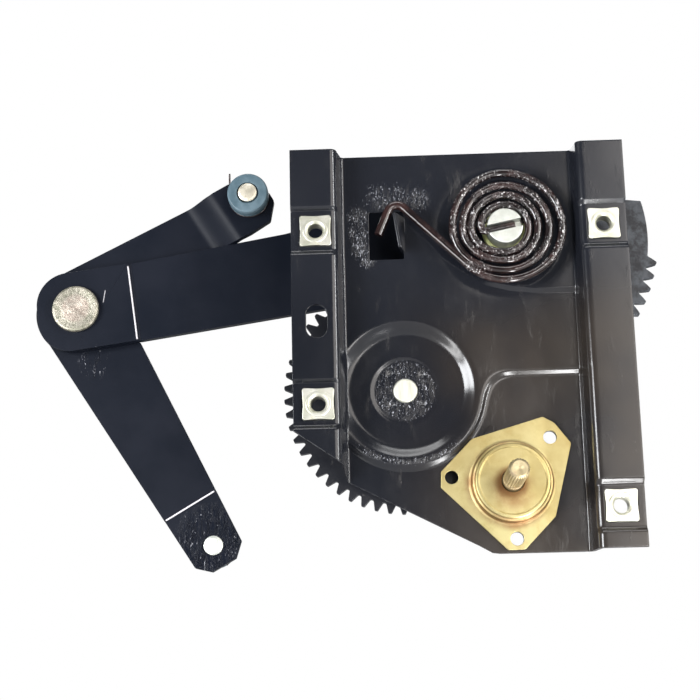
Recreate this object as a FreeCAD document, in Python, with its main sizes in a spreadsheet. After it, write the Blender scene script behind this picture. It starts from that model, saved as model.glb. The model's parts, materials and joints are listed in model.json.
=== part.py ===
import FreeCAD, Part
import math
import os
import Sketcher
from FreeCAD import Placement, Rotation, Vector

# Crank-driven window regulator of a truck door, as separate pieces.
#
# Millimetres. X runs along the door, Z is up, and Y runs from the cabin into the door, so the
# crank spindle points to -Y. The origin is on the spindle's axis, in the plane of the front faces
# of the two mounting rails. Three parallel shafts stand along Y: the crank spindle, the idler pin
# and the lift pivot. The lift arm hangs on the pivot and carries the forked lever at its elbow.

# Driving dimensions. Names that end in _x and _z are places, and in _front the cabin-side face.
DIMENSIONS = {
    # base plate: two mounting rails, and between them a panel that is drawn back in three steps
    "sheet": 2.0,
    "plate_left": -94.0,
    "plate_right": 55.0,
    "plate_top": 151.0,
    "plate_bottom": -30.5,
    "left_rail_inner": -73.5,
    "right_rail_inner": 34.5,
    "panel_front": 12.0,
    "middle_front": 13.2,
    "lower_front": 15.0,
    "dish_front": 16.4,
    "well_front": 17.4,
    "wall_draft": 11.0,
    "dish_draft": 45.0,
    "dish_mouth_radius": 31.2,
    "dish_rim_radius": 35.0,
    "well_radius": 15.0,
    "spring_dish_radius": 29.6,
    "spring_dish_front": 13.4,
    "pad_depth": 2.0,
    "pad_half_height": 10.2,
    # weld nuts and slot in the rails
    "nut_side": 14.0,
    "nut_front": 0.5,
    "nut_length": 8.0,
    "nut_bore_radius": 3.325,
    "left_nut_x": -83.0,
    "right_nut_x": 44.8,
    "upper_left_nut_z": 113.0,
    "lower_left_nut_z": 34.6,
    "upper_right_nut_z": 112.5,
    "lower_right_nut_z": -12.6,
    "slot_z": 71.2,
    "slot_half_width": 4.65,
    "slot_half_straight": 2.8,
    # lanced window with its tab, which anchors the spring
    "window_left": -59.2,
    "window_right": -43.8,
    "window_bottom": 101.8,
    "window_top": 124.2,
    "tab_front": 3.0,
    "tab_bottom": 105.0,
    "tab_top": 122.4,
    "tab_lean": 4.4,
    # shaft places
    "idler_x": -45.0,
    "idler_z": 42.3,
    "pivot_x": 1.5,
    "pivot_z": 113.45,
    # gears
    "wheel_module": 1.9,
    "wheel_teeth": 55,
    "crank_pinion_teeth": 10,
    "sector_module": 2.0,
    "sector_full_circle_teeth": 69,
    "idler_pinion_teeth": 16,
    "sector_tooth_count": 25,
    "sector_first_tooth_angle": -10.7,
    "pressure_angle": 27.0,
    "backlash": 0.16,
    "wheel_front": 20.4,
    "wheel_thick": 3.5,
    "idler_pinion_length": 6.2,
    "sector_front": 24.7,
    "sector_thick": 3.8,
    # idler pin
    "idler_pin_head_radius": 5.4,
    "idler_journal_radius": 6.0,
    "idler_bush_radius": 8.0,
    "idler_pin_end": 32.4,
    # crank unit
    "flange_thick": 1.6,
    "flange_hole_radius": 2.95,
    "dome_radius": 17.6,
    "dome_front": 7.4,
    "spindle_radius": 4.5,
    "spindle_front": -28.0,
    "serration_count": 24,
    "serration_depth": 0.45,
    "serration_end": 3.0,
    "crank_pinion_front": 19.4,
    "crank_pinion_length": 5.0,
    "drum_radius": 15.6,
    "drum_bore": 14.4,
    "brake_wire": 1.3,
    # lift arm
    "arm_length": 198.3,
    "arm_angle": 187.7,
    "arm_front": 28.5,
    "arm_thick": 4.0,
    "arm_end": 18.0,
    "elbow_joggle": 1.5,
    "elbow_joggle_start": 171.0,
    "rivet_head_radius": 10.8,
    "rivet_head_height": 2.6,
    "rivet_shank_radius": 7.0,
    "elbow_spacer_thick": 2.2,
    # lift pivot
    "stud_radius": 8.0,
    "stud_front": 3.0,
    "stud_slot_width": 3.7,
    "stud_slot_depth": 5.4,
    "stud_slot_angle": 11.5,
    "collar_radius": 9.9,
    "pivot_sleeve_radius": 12.5,
    # counterbalance spring
    "spring_wire": 3.4,
    "spring_middle": 6.0,
    "spring_end_radius": 10.6,
    "tail_bend_x": -48.2,
    "tail_bend_z": 126.4,
    "tail_end_x": -55.0,
    "tail_end_z": 111.6,
    # forked lever
    "lever_thick": 4.0,
    "lever_hub_radius": 20.0,
    "upper_arm_length": 94.8,
    "upper_arm_angle": 32.0,
    "lower_arm_length": 125.5,
    "lower_arm_angle": -60.2,
    "land_rise": 9.0,
    "land_start": 79.0,
    "land_run": 8.0,
    "tip_set": 1.0,
    "tip_set_start": 104.0,
    # rollers
    "roller_radius": 9.4,
    "roller_width": 6.8,
    "roller_bore": 3.3,
    "roller_pin_radius": 3.2,
    "pin_head_radius": 4.5,
    "ring_wire": 1.0,
    "upper_ring_radius": 9.0,
    "upper_ring_start": 180.0,
    "upper_ring_tail": 12.0,
    "lower_ring_radius": 9.6,
    "lower_ring_start": -40.2,
    "lower_ring_tail": 3.0,
}
DEDENDUM = 1.2
# Reach of the spring's wire from the stud at the bottom, right, top and left of each turn.
SPRING_REACHES = [24.1, 25.6, 25.5, 23.3, 19.9, 19.8, 19.7, 18.7, 15.3, 14.8, 15.1, 15.0, 11.4]
SPRING_BEND = 2.5

DOC = FreeCAD.newDocument("window_regulator")
PIECES = []


def fill_sheet():
    """Puts every driving dimension into the sheet, with its name as the cell's alias."""
    sheet = DOC.addObject("Spreadsheet::Sheet", "dims")
    for row, (name, value) in enumerate(DIMENSIONS.items(), start=1):
        sheet.set(f"A{row}", name)
        sheet.set(f"B{row}", repr(value))
        sheet.setAlias(f"B{row}", name)
    DOC.recompute()


def amount(text):
    """Value of a sum such as "arm_front + arm_thick"."""
    total, sign = 0.0, 1.0
    for word in text.split():
        if word in ("+", "-"):
            sign = -1.0 if word == "-" else 1.0
        else:
            total += sign * float(DIMENSIONS.get(word, word))
    return total


def bound(text):
    """The same sum as an expression on the sheet."""
    return " ".join("dims." + word if word in DIMENSIONS else word for word in text.split())


def bind(thing, **sums):
    """Binds properties of an object, with __ for a dot, to sums of sheet cells."""
    for prop, text in sums.items():
        thing.setExpression(prop.replace("__", "."), bound(text))


def keep(piece, name):
    """Marks a document object as the finished piece of this name."""
    piece.Label = name
    PIECES.append(piece)
    return piece


# ---------------------------------------------------------------- part design helpers


def new_body(name, x="0", z="0", angle=0.0):
    """Body whose own origin is at (x, z), turned by angle degrees as seen from the cabin."""
    body = DOC.addObject("PartDesign::Body", name)
    body.Placement = Placement(Vector(amount(x), 0, amount(z)), Rotation(Vector(0, -1, 0), angle))
    bind(body, Placement__Base__x=x, Placement__Base__z=z)
    return body


def new_sketch(body, plane="XZ_Plane", level="0"):
    """Sketch on an origin plane: XZ at the depth Y = level, or XY at the height Z = level."""
    sketch = body.newObject("Sketcher::SketchObject", body.Name + "_sketch")
    origin_plane = [part for part in body.Origin.OriginFeatures if part.Role == plane][0]
    sketch.AttachmentSupport = [(origin_plane, "")]
    sketch.MapMode = "FlatFace"
    sign = "-" if plane == "XZ_Plane" else "+"
    away = amount(level) * (-1 if sign == "-" else 1)
    sketch.AttachmentOffset = Placement(Vector(0, 0, away), Rotation())
    sketch.setExpression("AttachmentOffset.Base.z", f"{sign}({bound(level)})")
    return sketch


def fix_point(sketch, geometry, point, u, v):
    """Holds a sketch point at (u, v) from the sketch's origin."""
    for kind, text in (("DistanceX", u), ("DistanceY", v)):
        index = sketch.addConstraint(
            Sketcher.Constraint(kind, -1, 1, geometry, point, amount(text))
        )
        sketch.setExpression(f"Constraints[{index}]", bound(text))


def draw_polygon(sketch, corners):
    """Closed polygon through corners, each a pair of sums."""
    first = sketch.GeometryCount
    places = [Vector(amount(u), amount(v), 0) for u, v in corners]
    for start, end in zip(places, places[1:] + places[:1]):
        sketch.addGeometry(Part.LineSegment(start, end))
    for index in range(len(corners)):
        following = first + (index + 1) % len(corners)
        sketch.addConstraint(Sketcher.Constraint("Coincident", first + index, 2, following, 1))
    for index, (u, v) in enumerate(corners):
        fix_point(sketch, first + index, 1, u, v)


def draw_circle(sketch, u, v, radius):
    centre = Vector(amount(u), amount(v), 0)
    circle = sketch.addGeometry(Part.Circle(centre, Vector(0, 0, 1), amount(radius)))
    fix_point(sketch, circle, 3, u, v)
    index = sketch.addConstraint(Sketcher.Constraint("Radius", circle, amount(radius)))
    sketch.setExpression(f"Constraints[{index}]", bound(radius))


def pad(body, sketch, length, draft=None):
    """Adds the sketch's prism towards +Y (or +Z), narrowing by draft."""
    feature = body.newObject("PartDesign::Pad", body.Name + "_pad")
    feature.Profile = sketch
    feature.Reversed = sketch.AttachmentSupport[0][0].Role == "XZ_Plane"
    bind(feature, Length=length)
    if draft:
        feature.setExpression("TaperAngle", f"-({bound(draft)})")
    return feature


def pocket(body, sketch, length, draft=None):
    """Cuts the sketch's prism out, from its own plane towards +Y, narrowing by draft."""
    feature = body.newObject("PartDesign::Pocket", body.Name + "_pocket")
    feature.Profile = sketch
    bind(feature, Length=length)
    if draft:
        feature.setExpression("TaperAngle", f"-({bound(draft)})")
    return feature


def slab(body, corners, front, thick, draft=None):
    sketch = new_sketch(body, level=front)
    draw_polygon(sketch, corners)
    return pad(body, sketch, thick, draft)


def disc(body, front, thick, radius, u="0", v="0", draft=None):
    sketch = new_sketch(body, level=front)
    draw_circle(sketch, u, v, radius)
    return pad(body, sketch, thick, draft)


def hole(body, front, depth, radius, u="0", v="0", draft=None):
    sketch = new_sketch(body, level=front)
    draw_circle(sketch, u, v, radius)
    return pocket(body, sketch, depth, draft)


def window(body, corners, front, depth, draft=None):
    sketch = new_sketch(body, level=front)
    draw_polygon(sketch, corners)
    return pocket(body, sketch, depth, draft)


def box_corners(left, right, bottom, top):
    return [(left, bottom), (right, bottom), (right, top), (left, top)]


def turned(name, profile, x="0", z="0"):
    """Body turned about the Y axis through (x, z). profile lists (radius, depth) corners."""
    body = new_body(name, x, z)
    sketch = new_sketch(body, "XY_Plane")
    draw_polygon(sketch, profile)
    feature = body.newObject("PartDesign::Revolution", name + "_turned")
    feature.Profile = sketch
    feature.ReferenceAxis = (sketch, ["V_Axis"])
    feature.Angle = 360
    return body


def round_corners(body, radius, places):
    """Rounds the edges along Y that pass through these places of the body's own frame."""
    DOC.recompute()
    base = body.Tip
    names = []
    for index, edge in enumerate(base.Shape.Edges, start=1):
        ends = [vertex.Point for vertex in edge.Vertexes]
        if len(ends) != 2 or abs(ends[0].x - ends[1].x) + abs(ends[0].z - ends[1].z) > 0.01:
            continue
        for u, v in places:
            if math.hypot(ends[0].x - amount(u), ends[0].z - amount(v)) < 0.05:
                names.append(f"Edge{index}")
    feature = body.newObject("PartDesign::Fillet", body.Name + "_round")
    feature.Base = (base, names)
    bind(feature, Radius=radius)
    return feature


# ---------------------------------------------------------------- part workbench helpers


def cylinder(name, x, z, front, length, radius):
    """Cylinder along +Y."""
    solid = DOC.addObject("Part::Cylinder", name)
    solid.Placement = Placement(Vector(), Rotation(Vector(1, 0, 0), -90))
    bind(solid, Radius=radius, Height=length)
    bind(solid, Placement__Base__x=x, Placement__Base__y=front, Placement__Base__z=z)
    return solid


def join(name, solids):
    fused = DOC.addObject("Part::MultiFuse", name)
    fused.Shapes = solids
    return fused


def cut(name, base, tool):
    result = DOC.addObject("Part::Cut", name)
    result.Base = base
    result.Tool = tool
    return result


def group(name, solids):
    """Several equal solids as one piece."""
    compound = DOC.addObject("Part::Compound", name)
    compound.Links = solids
    return keep(compound, name)


def drawn(name, shape):
    """Shape made with Part's own functions."""
    feature = DOC.addObject("Part::Feature", name)
    feature.Shape = shape
    return feature


# ---------------------------------------------------------------- gear geometry


def polar(radius, angle):
    """Point of the XZ plane at an angle in radians, anticlockwise from +X seen from the cabin."""
    return Vector(radius * math.cos(angle), 0, radius * math.sin(angle))


def involute(angle):
    return math.tan(angle) - angle


def tooth_half_angle(module, teeth, radius):
    """Half the angle that a tooth fills at this radius, in radians."""
    pressure = math.radians(DIMENSIONS["pressure_angle"])
    pitch_radius = module * teeth / 2
    base_radius = pitch_radius * math.cos(pressure)
    at_pitch = (math.pi * module / 2 - DIMENSIONS["backlash"] / 2) / (2 * pitch_radius)
    here = math.acos(min(1.0, base_radius / radius))
    return at_pitch + involute(pressure) - involute(here)


def arc_edge(radius, start, end):
    """Edge on a circle about the origin."""
    middle = (start + end) / 2
    return Part.Arc(polar(radius, start), polar(radius, middle), polar(radius, end)).toShape()


def tooth_edges(module, teeth, angle):
    """Edges of one tooth centred on angle, from its root on the clockwise side to the other."""
    pitch_radius = module * teeth / 2
    root_radius, tip_radius = pitch_radius - DEDENDUM * module, pitch_radius + module
    base_radius = pitch_radius * math.cos(math.radians(DIMENSIONS["pressure_angle"]))
    low_radius = max(base_radius, root_radius)
    middle_radius = (low_radius + tip_radius) / 2
    low, middle, tip = (
        tooth_half_angle(module, teeth, radius) for radius in (low_radius, middle_radius, tip_radius)
    )
    edges = []
    if low_radius > root_radius:
        foot, top = polar(root_radius, angle - low), polar(low_radius, angle - low)
        edges.append(Part.LineSegment(foot, top).toShape())
    rising = [polar(low_radius, angle - low), polar(middle_radius, angle - middle)]
    edges.append(Part.Arc(*rising, polar(tip_radius, angle - tip)).toShape())
    edges.append(arc_edge(tip_radius, angle - tip, angle + tip))
    falling = [polar(tip_radius, angle + tip), polar(middle_radius, angle + middle)]
    edges.append(Part.Arc(*falling, polar(low_radius, angle + low)).toShape())
    if low_radius > root_radius:
        top, foot = polar(low_radius, angle + low), polar(root_radius, angle + low)
        edges.append(Part.LineSegment(top, foot).toShape())
    return edges


def toothed_edges(module, teeth, first_angle, count):
    """Teeth with the root arcs between them, anticlockwise from first_angle."""
    step = 2 * math.pi / teeth
    root_radius = module * teeth / 2 - DEDENDUM * module
    foot = tooth_half_angle(module, teeth, max(root_radius, module * teeth / 2 * math.cos(
        math.radians(DIMENSIONS["pressure_angle"]))))
    edges = []
    for index in range(count):
        angle = first_angle + index * step
        edges += tooth_edges(module, teeth, angle)
        if index < count - 1 or count == teeth:
            edges.append(arc_edge(root_radius, angle + foot, angle + step - foot))
    return edges


def extruded(name, edges, front, thick, x="0", z="0"):
    """Plate of this outline, from the depth front, about (x, z)."""
    profile = drawn(name + "_outline", Part.Face(Part.Wire(edges)))
    solid = DOC.addObject("Part::Extrusion", name + "_blank")
    solid.Base = profile
    solid.DirMode = "Custom"
    solid.Dir = Vector(0, 1, 0)
    solid.Solid = True
    bind(solid, LengthFwd=thick, Placement__Base__x=x, Placement__Base__z=z)
    bind(solid, Placement__Base__y=front)
    return solid


def mesh_angle(driver_angle, driver_teeth, line_angle, teeth):
    """Angle of a tooth of the second gear that meshes with a first gear whose tooth is at
    driver_angle, where line_angle points from the first gear to the second."""
    phase = (line_angle - driver_angle) / (2 * math.pi / driver_teeth)
    return line_angle + math.pi - 2 * math.pi / teeth * (0.5 - phase)


# ---------------------------------------------------------------- base plate


def middle_boundary():
    """Corners of the panel below the spring's zone, which is drawn back a little."""
    return [
        ("left_rail_inner + 2.4", "plate_bottom - 20"),
        ("right_rail_inner - 2.2", "plate_bottom - 20"),
        ("right_rail_inner - 2.2", "86"),
        ("12", "86"),
        ("-37", "97"),
        ("left_rail_inner + 2.4", "99"),
    ]


def lower_boundary(margin):
    """Outline of the lower zone: below Z = 49 and outside the rim round the idler dish."""
    centre = Vector(DIMENSIONS["idler_x"], 0, DIMENSIONS["idler_z"])
    radius = DIMENSIONS["dish_rim_radius"] - margin
    left = DIMENSIONS["left_rail_inner"] + 2.4 - margin
    right = DIMENSIONS["right_rail_inner"] - 2.2 + margin
    bottom = DIMENSIONS["plate_bottom"] - 20
    top = 49.0 + margin
    start = math.asin((top - 4.0 - centre.z) / radius)
    end = -math.acos((left - centre.x) / radius)
    rim = [centre + polar(radius, a) for a in (start, (start + end) / 2, end)]
    shoulder = Vector(rim[0].x + 3.0, 0, top)
    corners = [rim[2], Vector(left, 0, bottom), Vector(right, 0, bottom), Vector(right, 0, top)]
    corners += [shoulder, rim[0]]
    edges = [Part.Arc(*rim).toShape()]
    edges += [Part.LineSegment(a, b).toShape() for a, b in zip(corners, corners[1:])]
    return edges


def rail_pads():
    """Name stem of each pad's nut, with the sums of the pad's four sides."""
    rails = {
        "left": ("plate_left - 5", "left_rail_inner + 4"),
        "right": ("right_rail_inner - 4", "plate_right + 5"),
    }
    for rail, place in (("left", "upper"), ("left", "lower"), ("right", "upper"), ("right", "lower")):
        nut_z = f"{place}_{rail}_nut_z"
        yield rail, nut_z, rails[rail] + (nut_z + " - pad_half_height", nut_z + " + pad_half_height")


def plate_outline():
    return [
        ("plate_left", "plate_top"),
        ("plate_left", "22.8"),
        ("-72.4", "8"),
        ("-71.4", "2"),
        ("-15", "-27"),
        ("-6.5", "plate_bottom"),
        ("plate_right", "plate_bottom"),
        ("plate_right", "plate_top"),
    ]


def base_plate():
    """Blank of the back faces first, then the front faces cut out of it at one sheet's depth."""
    blank = new_body("plate_blank")
    far = ("plate_bottom - 20", "plate_top + 20")
    slab(blank, box_corners("plate_left - 5", "plate_right + 5", *far), "0", "sheet")
    for _, _, sides in rail_pads():
        left, right, bottom, top = sides
        corners = box_corners(left + " - 2", right + " + 2", bottom + " - 2", top + " + 2")
        slab(blank, corners, "0", "pad_depth + sheet", "dish_draft")
    panel = box_corners("left_rail_inner - 2.1", "right_rail_inner + 2.1", *far)
    slab(blank, panel, "0", "panel_front + sheet", "wall_draft")
    deeper = [(u, v) for u, v in middle_boundary()]
    slab(blank, deeper, "panel_front", "middle_front - panel_front + sheet", "wall_draft")
    place = {"u": "idler_x", "v": "idler_z"}
    disc(blank, "middle_front", "dish_front - middle_front + sheet", "dish_rim_radius - 0.6",
         draft="dish_draft", **place)
    disc(blank, "dish_front", "well_front - dish_front + sheet", "well_radius + 2.9",
         draft="dish_draft", **place)
    disc(blank, "panel_front", "spring_dish_front - panel_front + sheet", "spring_dish_radius + 3",
         u="pivot_x", v="pivot_z", draft="dish_draft")

    far_front = new_body("plate_hollow")
    slab(far_front, box_corners("left_rail_inner", "right_rail_inner", *far), "0", "panel_front",
         "wall_draft")
    slab(far_front, middle_boundary(), "panel_front", "middle_front - panel_front", "wall_draft")
    disc(far_front, "middle_front", "dish_front - middle_front", "dish_mouth_radius",
         draft="dish_draft", **place)
    disc(far_front, "dish_front", "well_front - dish_front", "well_radius", draft="dish_draft", **place)
    disc(far_front, "panel_front", "spring_dish_front - panel_front", "spring_dish_radius",
         u="pivot_x", v="pivot_z", draft="dish_draft")
    lower_back = extruded("lower_back", lower_boundary(1.6), "middle_front",
                          "lower_front - middle_front + sheet")
    lower_hollow = extruded("lower_hollow", lower_boundary(0.0), "middle_front",
                            "lower_front - middle_front")
    pad_hollows = []
    for rail, nut_z, sides in rail_pads():
        body = new_body(nut_z + "_hollow")
        slab(body, box_corners(*sides), "0", "pad_depth", "dish_draft")
        pad_hollows.append(body)
    thick_blank = join("thick_blank", [blank, lower_back])
    hollows = join("hollows", [far_front, lower_hollow] + pad_hollows)
    formed = cut("formed_sheet", thick_blank, hollows)

    trim = new_body("plate_trim")
    slab(trim, plate_outline(), "0", "well_front + sheet + 1")
    window(trim, box_corners("window_left", "window_right", "window_bottom", "window_top"),
           "0", "well_front + 10")
    for rail, nut_z, _ in rail_pads():
        nut_x = rail + "_nut_x"
        half = DIMENSIONS["nut_side"] / 2
        square = box_corners(f"{nut_x} - {half}", f"{nut_x} + {half}", f"{nut_z} - {half}",
                             f"{nut_z} + {half}")
        window(trim, square, "0", "well_front + 10")
    window(trim, box_corners("left_nut_x - slot_half_width", "left_nut_x + slot_half_width",
                             "slot_z - slot_half_straight", "slot_z + slot_half_straight"),
           "0", "well_front + 10")
    for end in ("slot_z - slot_half_straight", "slot_z + slot_half_straight"):
        hole(trim, "0", "well_front + 10", "slot_half_width", "left_nut_x", end)
    hole(trim, "0", "well_front + 10", "idler_pin_head_radius", "idler_x", "idler_z")
    hole(trim, "0", "well_front + 10", "collar_radius", "pivot_x", "pivot_z")
    hole(trim, "0", "well_front + 10", "drum_radius")
    for u, v in FLANGE_HOLES:
        hole(trim, "0", "well_front + 10", "flange_hole_radius", u, v)

    plate = DOC.addObject("Part::Common", "trimmed_sheet")
    plate.Base = formed
    plate.Tool = trim
    tab = new_body("spring_tab")
    sketch = new_sketch(tab, "XY_Plane", "tab_bottom")
    draw_polygon(sketch, [
        ("window_right", "panel_front + 1"),
        ("window_right - tab_lean", "tab_front"),
        ("window_right - tab_lean + sheet", "tab_front"),
        ("window_right + sheet", "panel_front + 1"),
    ])
    pad(tab, sketch, "tab_top - tab_bottom")
    lug = new_body("locating_lug")
    slab(lug, [("-11.6", "21.4"), ("-7", "22.8"), ("-6.8", "24.9"), ("-8.4", "25.6")],
         "lower_front - 1.6", "sheet")
    keep(join("base_plate", [plate, tab, lug]), "base_plate")


# Clearance holes of the crank flange, which pass through the plate too.
FLANGE_HOLES = [("-26.1", "2.8"), ("17.4", "19.4"), ("1.1", "-24.4")]


def weld_nuts():
    nuts = []
    for rail, nut_z, _ in rail_pads():
        nut_x = rail + "_nut_x"
        body = new_body(nut_z + "_nut", nut_x, nut_z)
        half = str(DIMENSIONS["nut_side"] / 2)
        slab(body, box_corners("-" + half, half, "-" + half, half), "nut_front", "nut_length")
        hole(body, "nut_front", "nut_length", "nut_bore_radius")
        nuts.append(body)
    group("weld_nuts", nuts)


# ---------------------------------------------------------------- crank unit


def crank_housing():
    """Three-cornered flange with a drawn dome, pressed from one sheet."""
    body = new_body("crank_housing")
    flange_front = "lower_front - flange_thick"
    corners = [
        ("14.7", "28.5"), ("19.6", "25.7"), ("26.5", "16.5"), ("18.1", "-15.3"), ("4.5", "-29"),
        ("-3", "-29.2"), ("-30.9", "-1.6"), ("-30.6", "5.5"), ("-16.7", "19.5"),
    ]
    slab(body, corners, flange_front, "flange_thick")
    for u, v in FLANGE_HOLES:
        hole(body, flange_front, "flange_thick", "flange_hole_radius", u, v)
    hole(body, flange_front, "flange_thick", "dome_radius - flange_thick")
    round_corners(body, "2.5", corners)
    profile = new_sketch(body, "XY_Plane")
    draw_polygon(profile, [
        ("spindle_radius + 0.1", "dome_front + flange_thick + 0.4"),
        ("spindle_radius + 0.1", "dome_front + 0.4"),
        ("dome_radius - 3.2", "dome_front + 0.4"),
        ("dome_radius - 2.6", "dome_front"),
        ("dome_radius - 1.6", "dome_front"),
        ("dome_radius - 0.5", "dome_front + 0.5"),
        ("dome_radius", "dome_front + 1.7"),
        ("dome_radius", "lower_front"),
        ("dome_radius - flange_thick", "lower_front"),
        ("dome_radius - flange_thick", "dome_front + 2.4"),
        ("dome_radius - 2.3", "dome_front + flange_thick + 0.4"),
    ])
    dome = body.newObject("PartDesign::Revolution", "dome")
    dome.Profile = profile
    dome.ReferenceAxis = (profile, ["V_Axis"])
    keep(body, "crank_housing")


def crank_spindle():
    """Serrated shaft whose inner end carries half of the brake's driving shell."""
    count = DIMENSIONS["serration_count"]
    top = DIMENSIONS["spindle_radius"]
    root = top - DIMENSIONS["serration_depth"]
    step = 2 * math.pi / count
    corners = []
    for index in range(count):
        corners += [polar(root, (index - 0.5) * step), polar(top, index * step)]
    edges = [Part.LineSegment(a, b).toShape() for a, b in zip(corners, corners[1:] + corners[:1])]
    serrated = extruded("serrated", edges, "spindle_front", "serration_end - spindle_front")
    tip = turned("spindle_tip", [
        ("0", "spindle_front"),
        ("spindle_radius - 1.3", "spindle_front"),
        ("spindle_radius + 0.1", "spindle_front + 1.4"),
        ("spindle_radius + 0.1", "serration_end"),
        ("0", "serration_end"),
    ])
    chamfered = DOC.addObject("Part::Common", "chamfered_serration")
    chamfered.Base = serrated
    chamfered.Tool = tip
    shaft = turned("spindle_shaft", [
        ("0", "serration_end"),
        ("spindle_radius", "serration_end"),
        ("spindle_radius", "dome_front + flange_thick + 0.6"),
        ("12.2", "dome_front + flange_thick + 0.6"),
        ("12.2", "dome_front + flange_thick + 2"),
        ("spindle_radius - 0.5", "dome_front + flange_thick + 2"),
        ("spindle_radius - 0.5", "crank_pinion_front + crank_pinion_length + 2.4"),
        ("0", "crank_pinion_front + crank_pinion_length + 2.4"),
    ])
    shell = half_shell("driver_shell", 0.0, "dome_front + flange_thick + 1", "4.6")
    keep(join("crank_spindle", [chamfered, shaft, shell]), "crank_spindle")


SHELL_INNER, SHELL_OUTER, SHELL_SPAN = 9.6, 12.2, math.radians(150)


def half_shell(name, angle, front, length):
    """Part of a tube that pushes the brake spring's tangs, centred on angle."""
    low, high = angle - SHELL_SPAN / 2, angle + SHELL_SPAN / 2
    edges = [
        arc_edge(SHELL_OUTER, low, high),
        Part.LineSegment(polar(SHELL_OUTER, high), polar(SHELL_INNER, high)).toShape(),
        arc_edge(SHELL_INNER, high, low),
        Part.LineSegment(polar(SHELL_INNER, low), polar(SHELL_OUTER, low)).toShape(),
    ]
    return extruded(name, edges, front, length)


def brake():
    """Drum pressed into the dome, and the wrap spring that grips its bore."""
    front = "dome_front + 4.8"
    drum = turned("brake_drum", [
        ("drum_bore", front),
        ("drum_radius", front),
        ("drum_radius", "lower_front + sheet"),
        ("drum_bore", "lower_front + sheet"),
    ])
    keep(drum, "brake_drum")
    path = DOC.addObject("Part::Helix", "brake_spring_path")
    path.Pitch = DIMENSIONS["brake_wire"] + 0.1
    path.Height = 2.5 * (DIMENSIONS["brake_wire"] + 0.1)
    bind(path, Radius="drum_bore - 0.75")
    section = DOC.addObject("Part::Circle", "brake_wire_section")
    section.Radius = DIMENSIONS["brake_wire"] / 2
    section.Placement = Placement(
        Vector(amount("drum_bore - 0.75"), 0, 0), Rotation(Vector(1, 0, 0), 90)
    )
    coil = DOC.addObject("Part::Sweep", "brake_spring")
    coil.Sections = [section]
    coil.Spine = (path, ["Edge1"])
    coil.Solid = True
    coil.Frenet = True
    coil.Placement = Placement(Vector(0, amount(front) + 0.9, 0), Rotation(Vector(1, 0, 0), -90))
    keep(coil, "brake_spring")


def crank_pinion(first_angle):
    module, teeth = DIMENSIONS["wheel_module"], DIMENSIONS["crank_pinion_teeth"]
    edges = toothed_edges(module, teeth, first_angle, teeth)
    blank = extruded("crank_pinion", edges, "crank_pinion_front", "crank_pinion_length")
    plate = cylinder("pinion_plate", "0", "0", "lower_front + 0.4", "1.6", "12.2")
    neck = cylinder("pinion_neck", "0", "0", "lower_front + 2", "crank_pinion_front - lower_front - 2",
                    "7")
    shell = half_shell("pinion_shell", math.pi, "dome_front + flange_thick + 2.6", "4.2")
    body = join("pinion_body", [blank, plate, neck, shell])
    bore = cylinder("pinion_bore", "0", "0", "0", "40", "spindle_radius - 0.4")
    keep(cut("crank_pinion", body, bore), "crank_pinion")
    front = "crank_pinion_front + crank_pinion_length + 0.2"
    clip = turned("pinion_clip", [
        ("spindle_radius - 0.48", front),
        ("7.4", front),
        ("7.4", front + " + 1"),
        ("spindle_radius - 0.48", front + " + 1"),
    ])
    keep(clip, "pinion_clip")


# ---------------------------------------------------------------- idler


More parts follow.
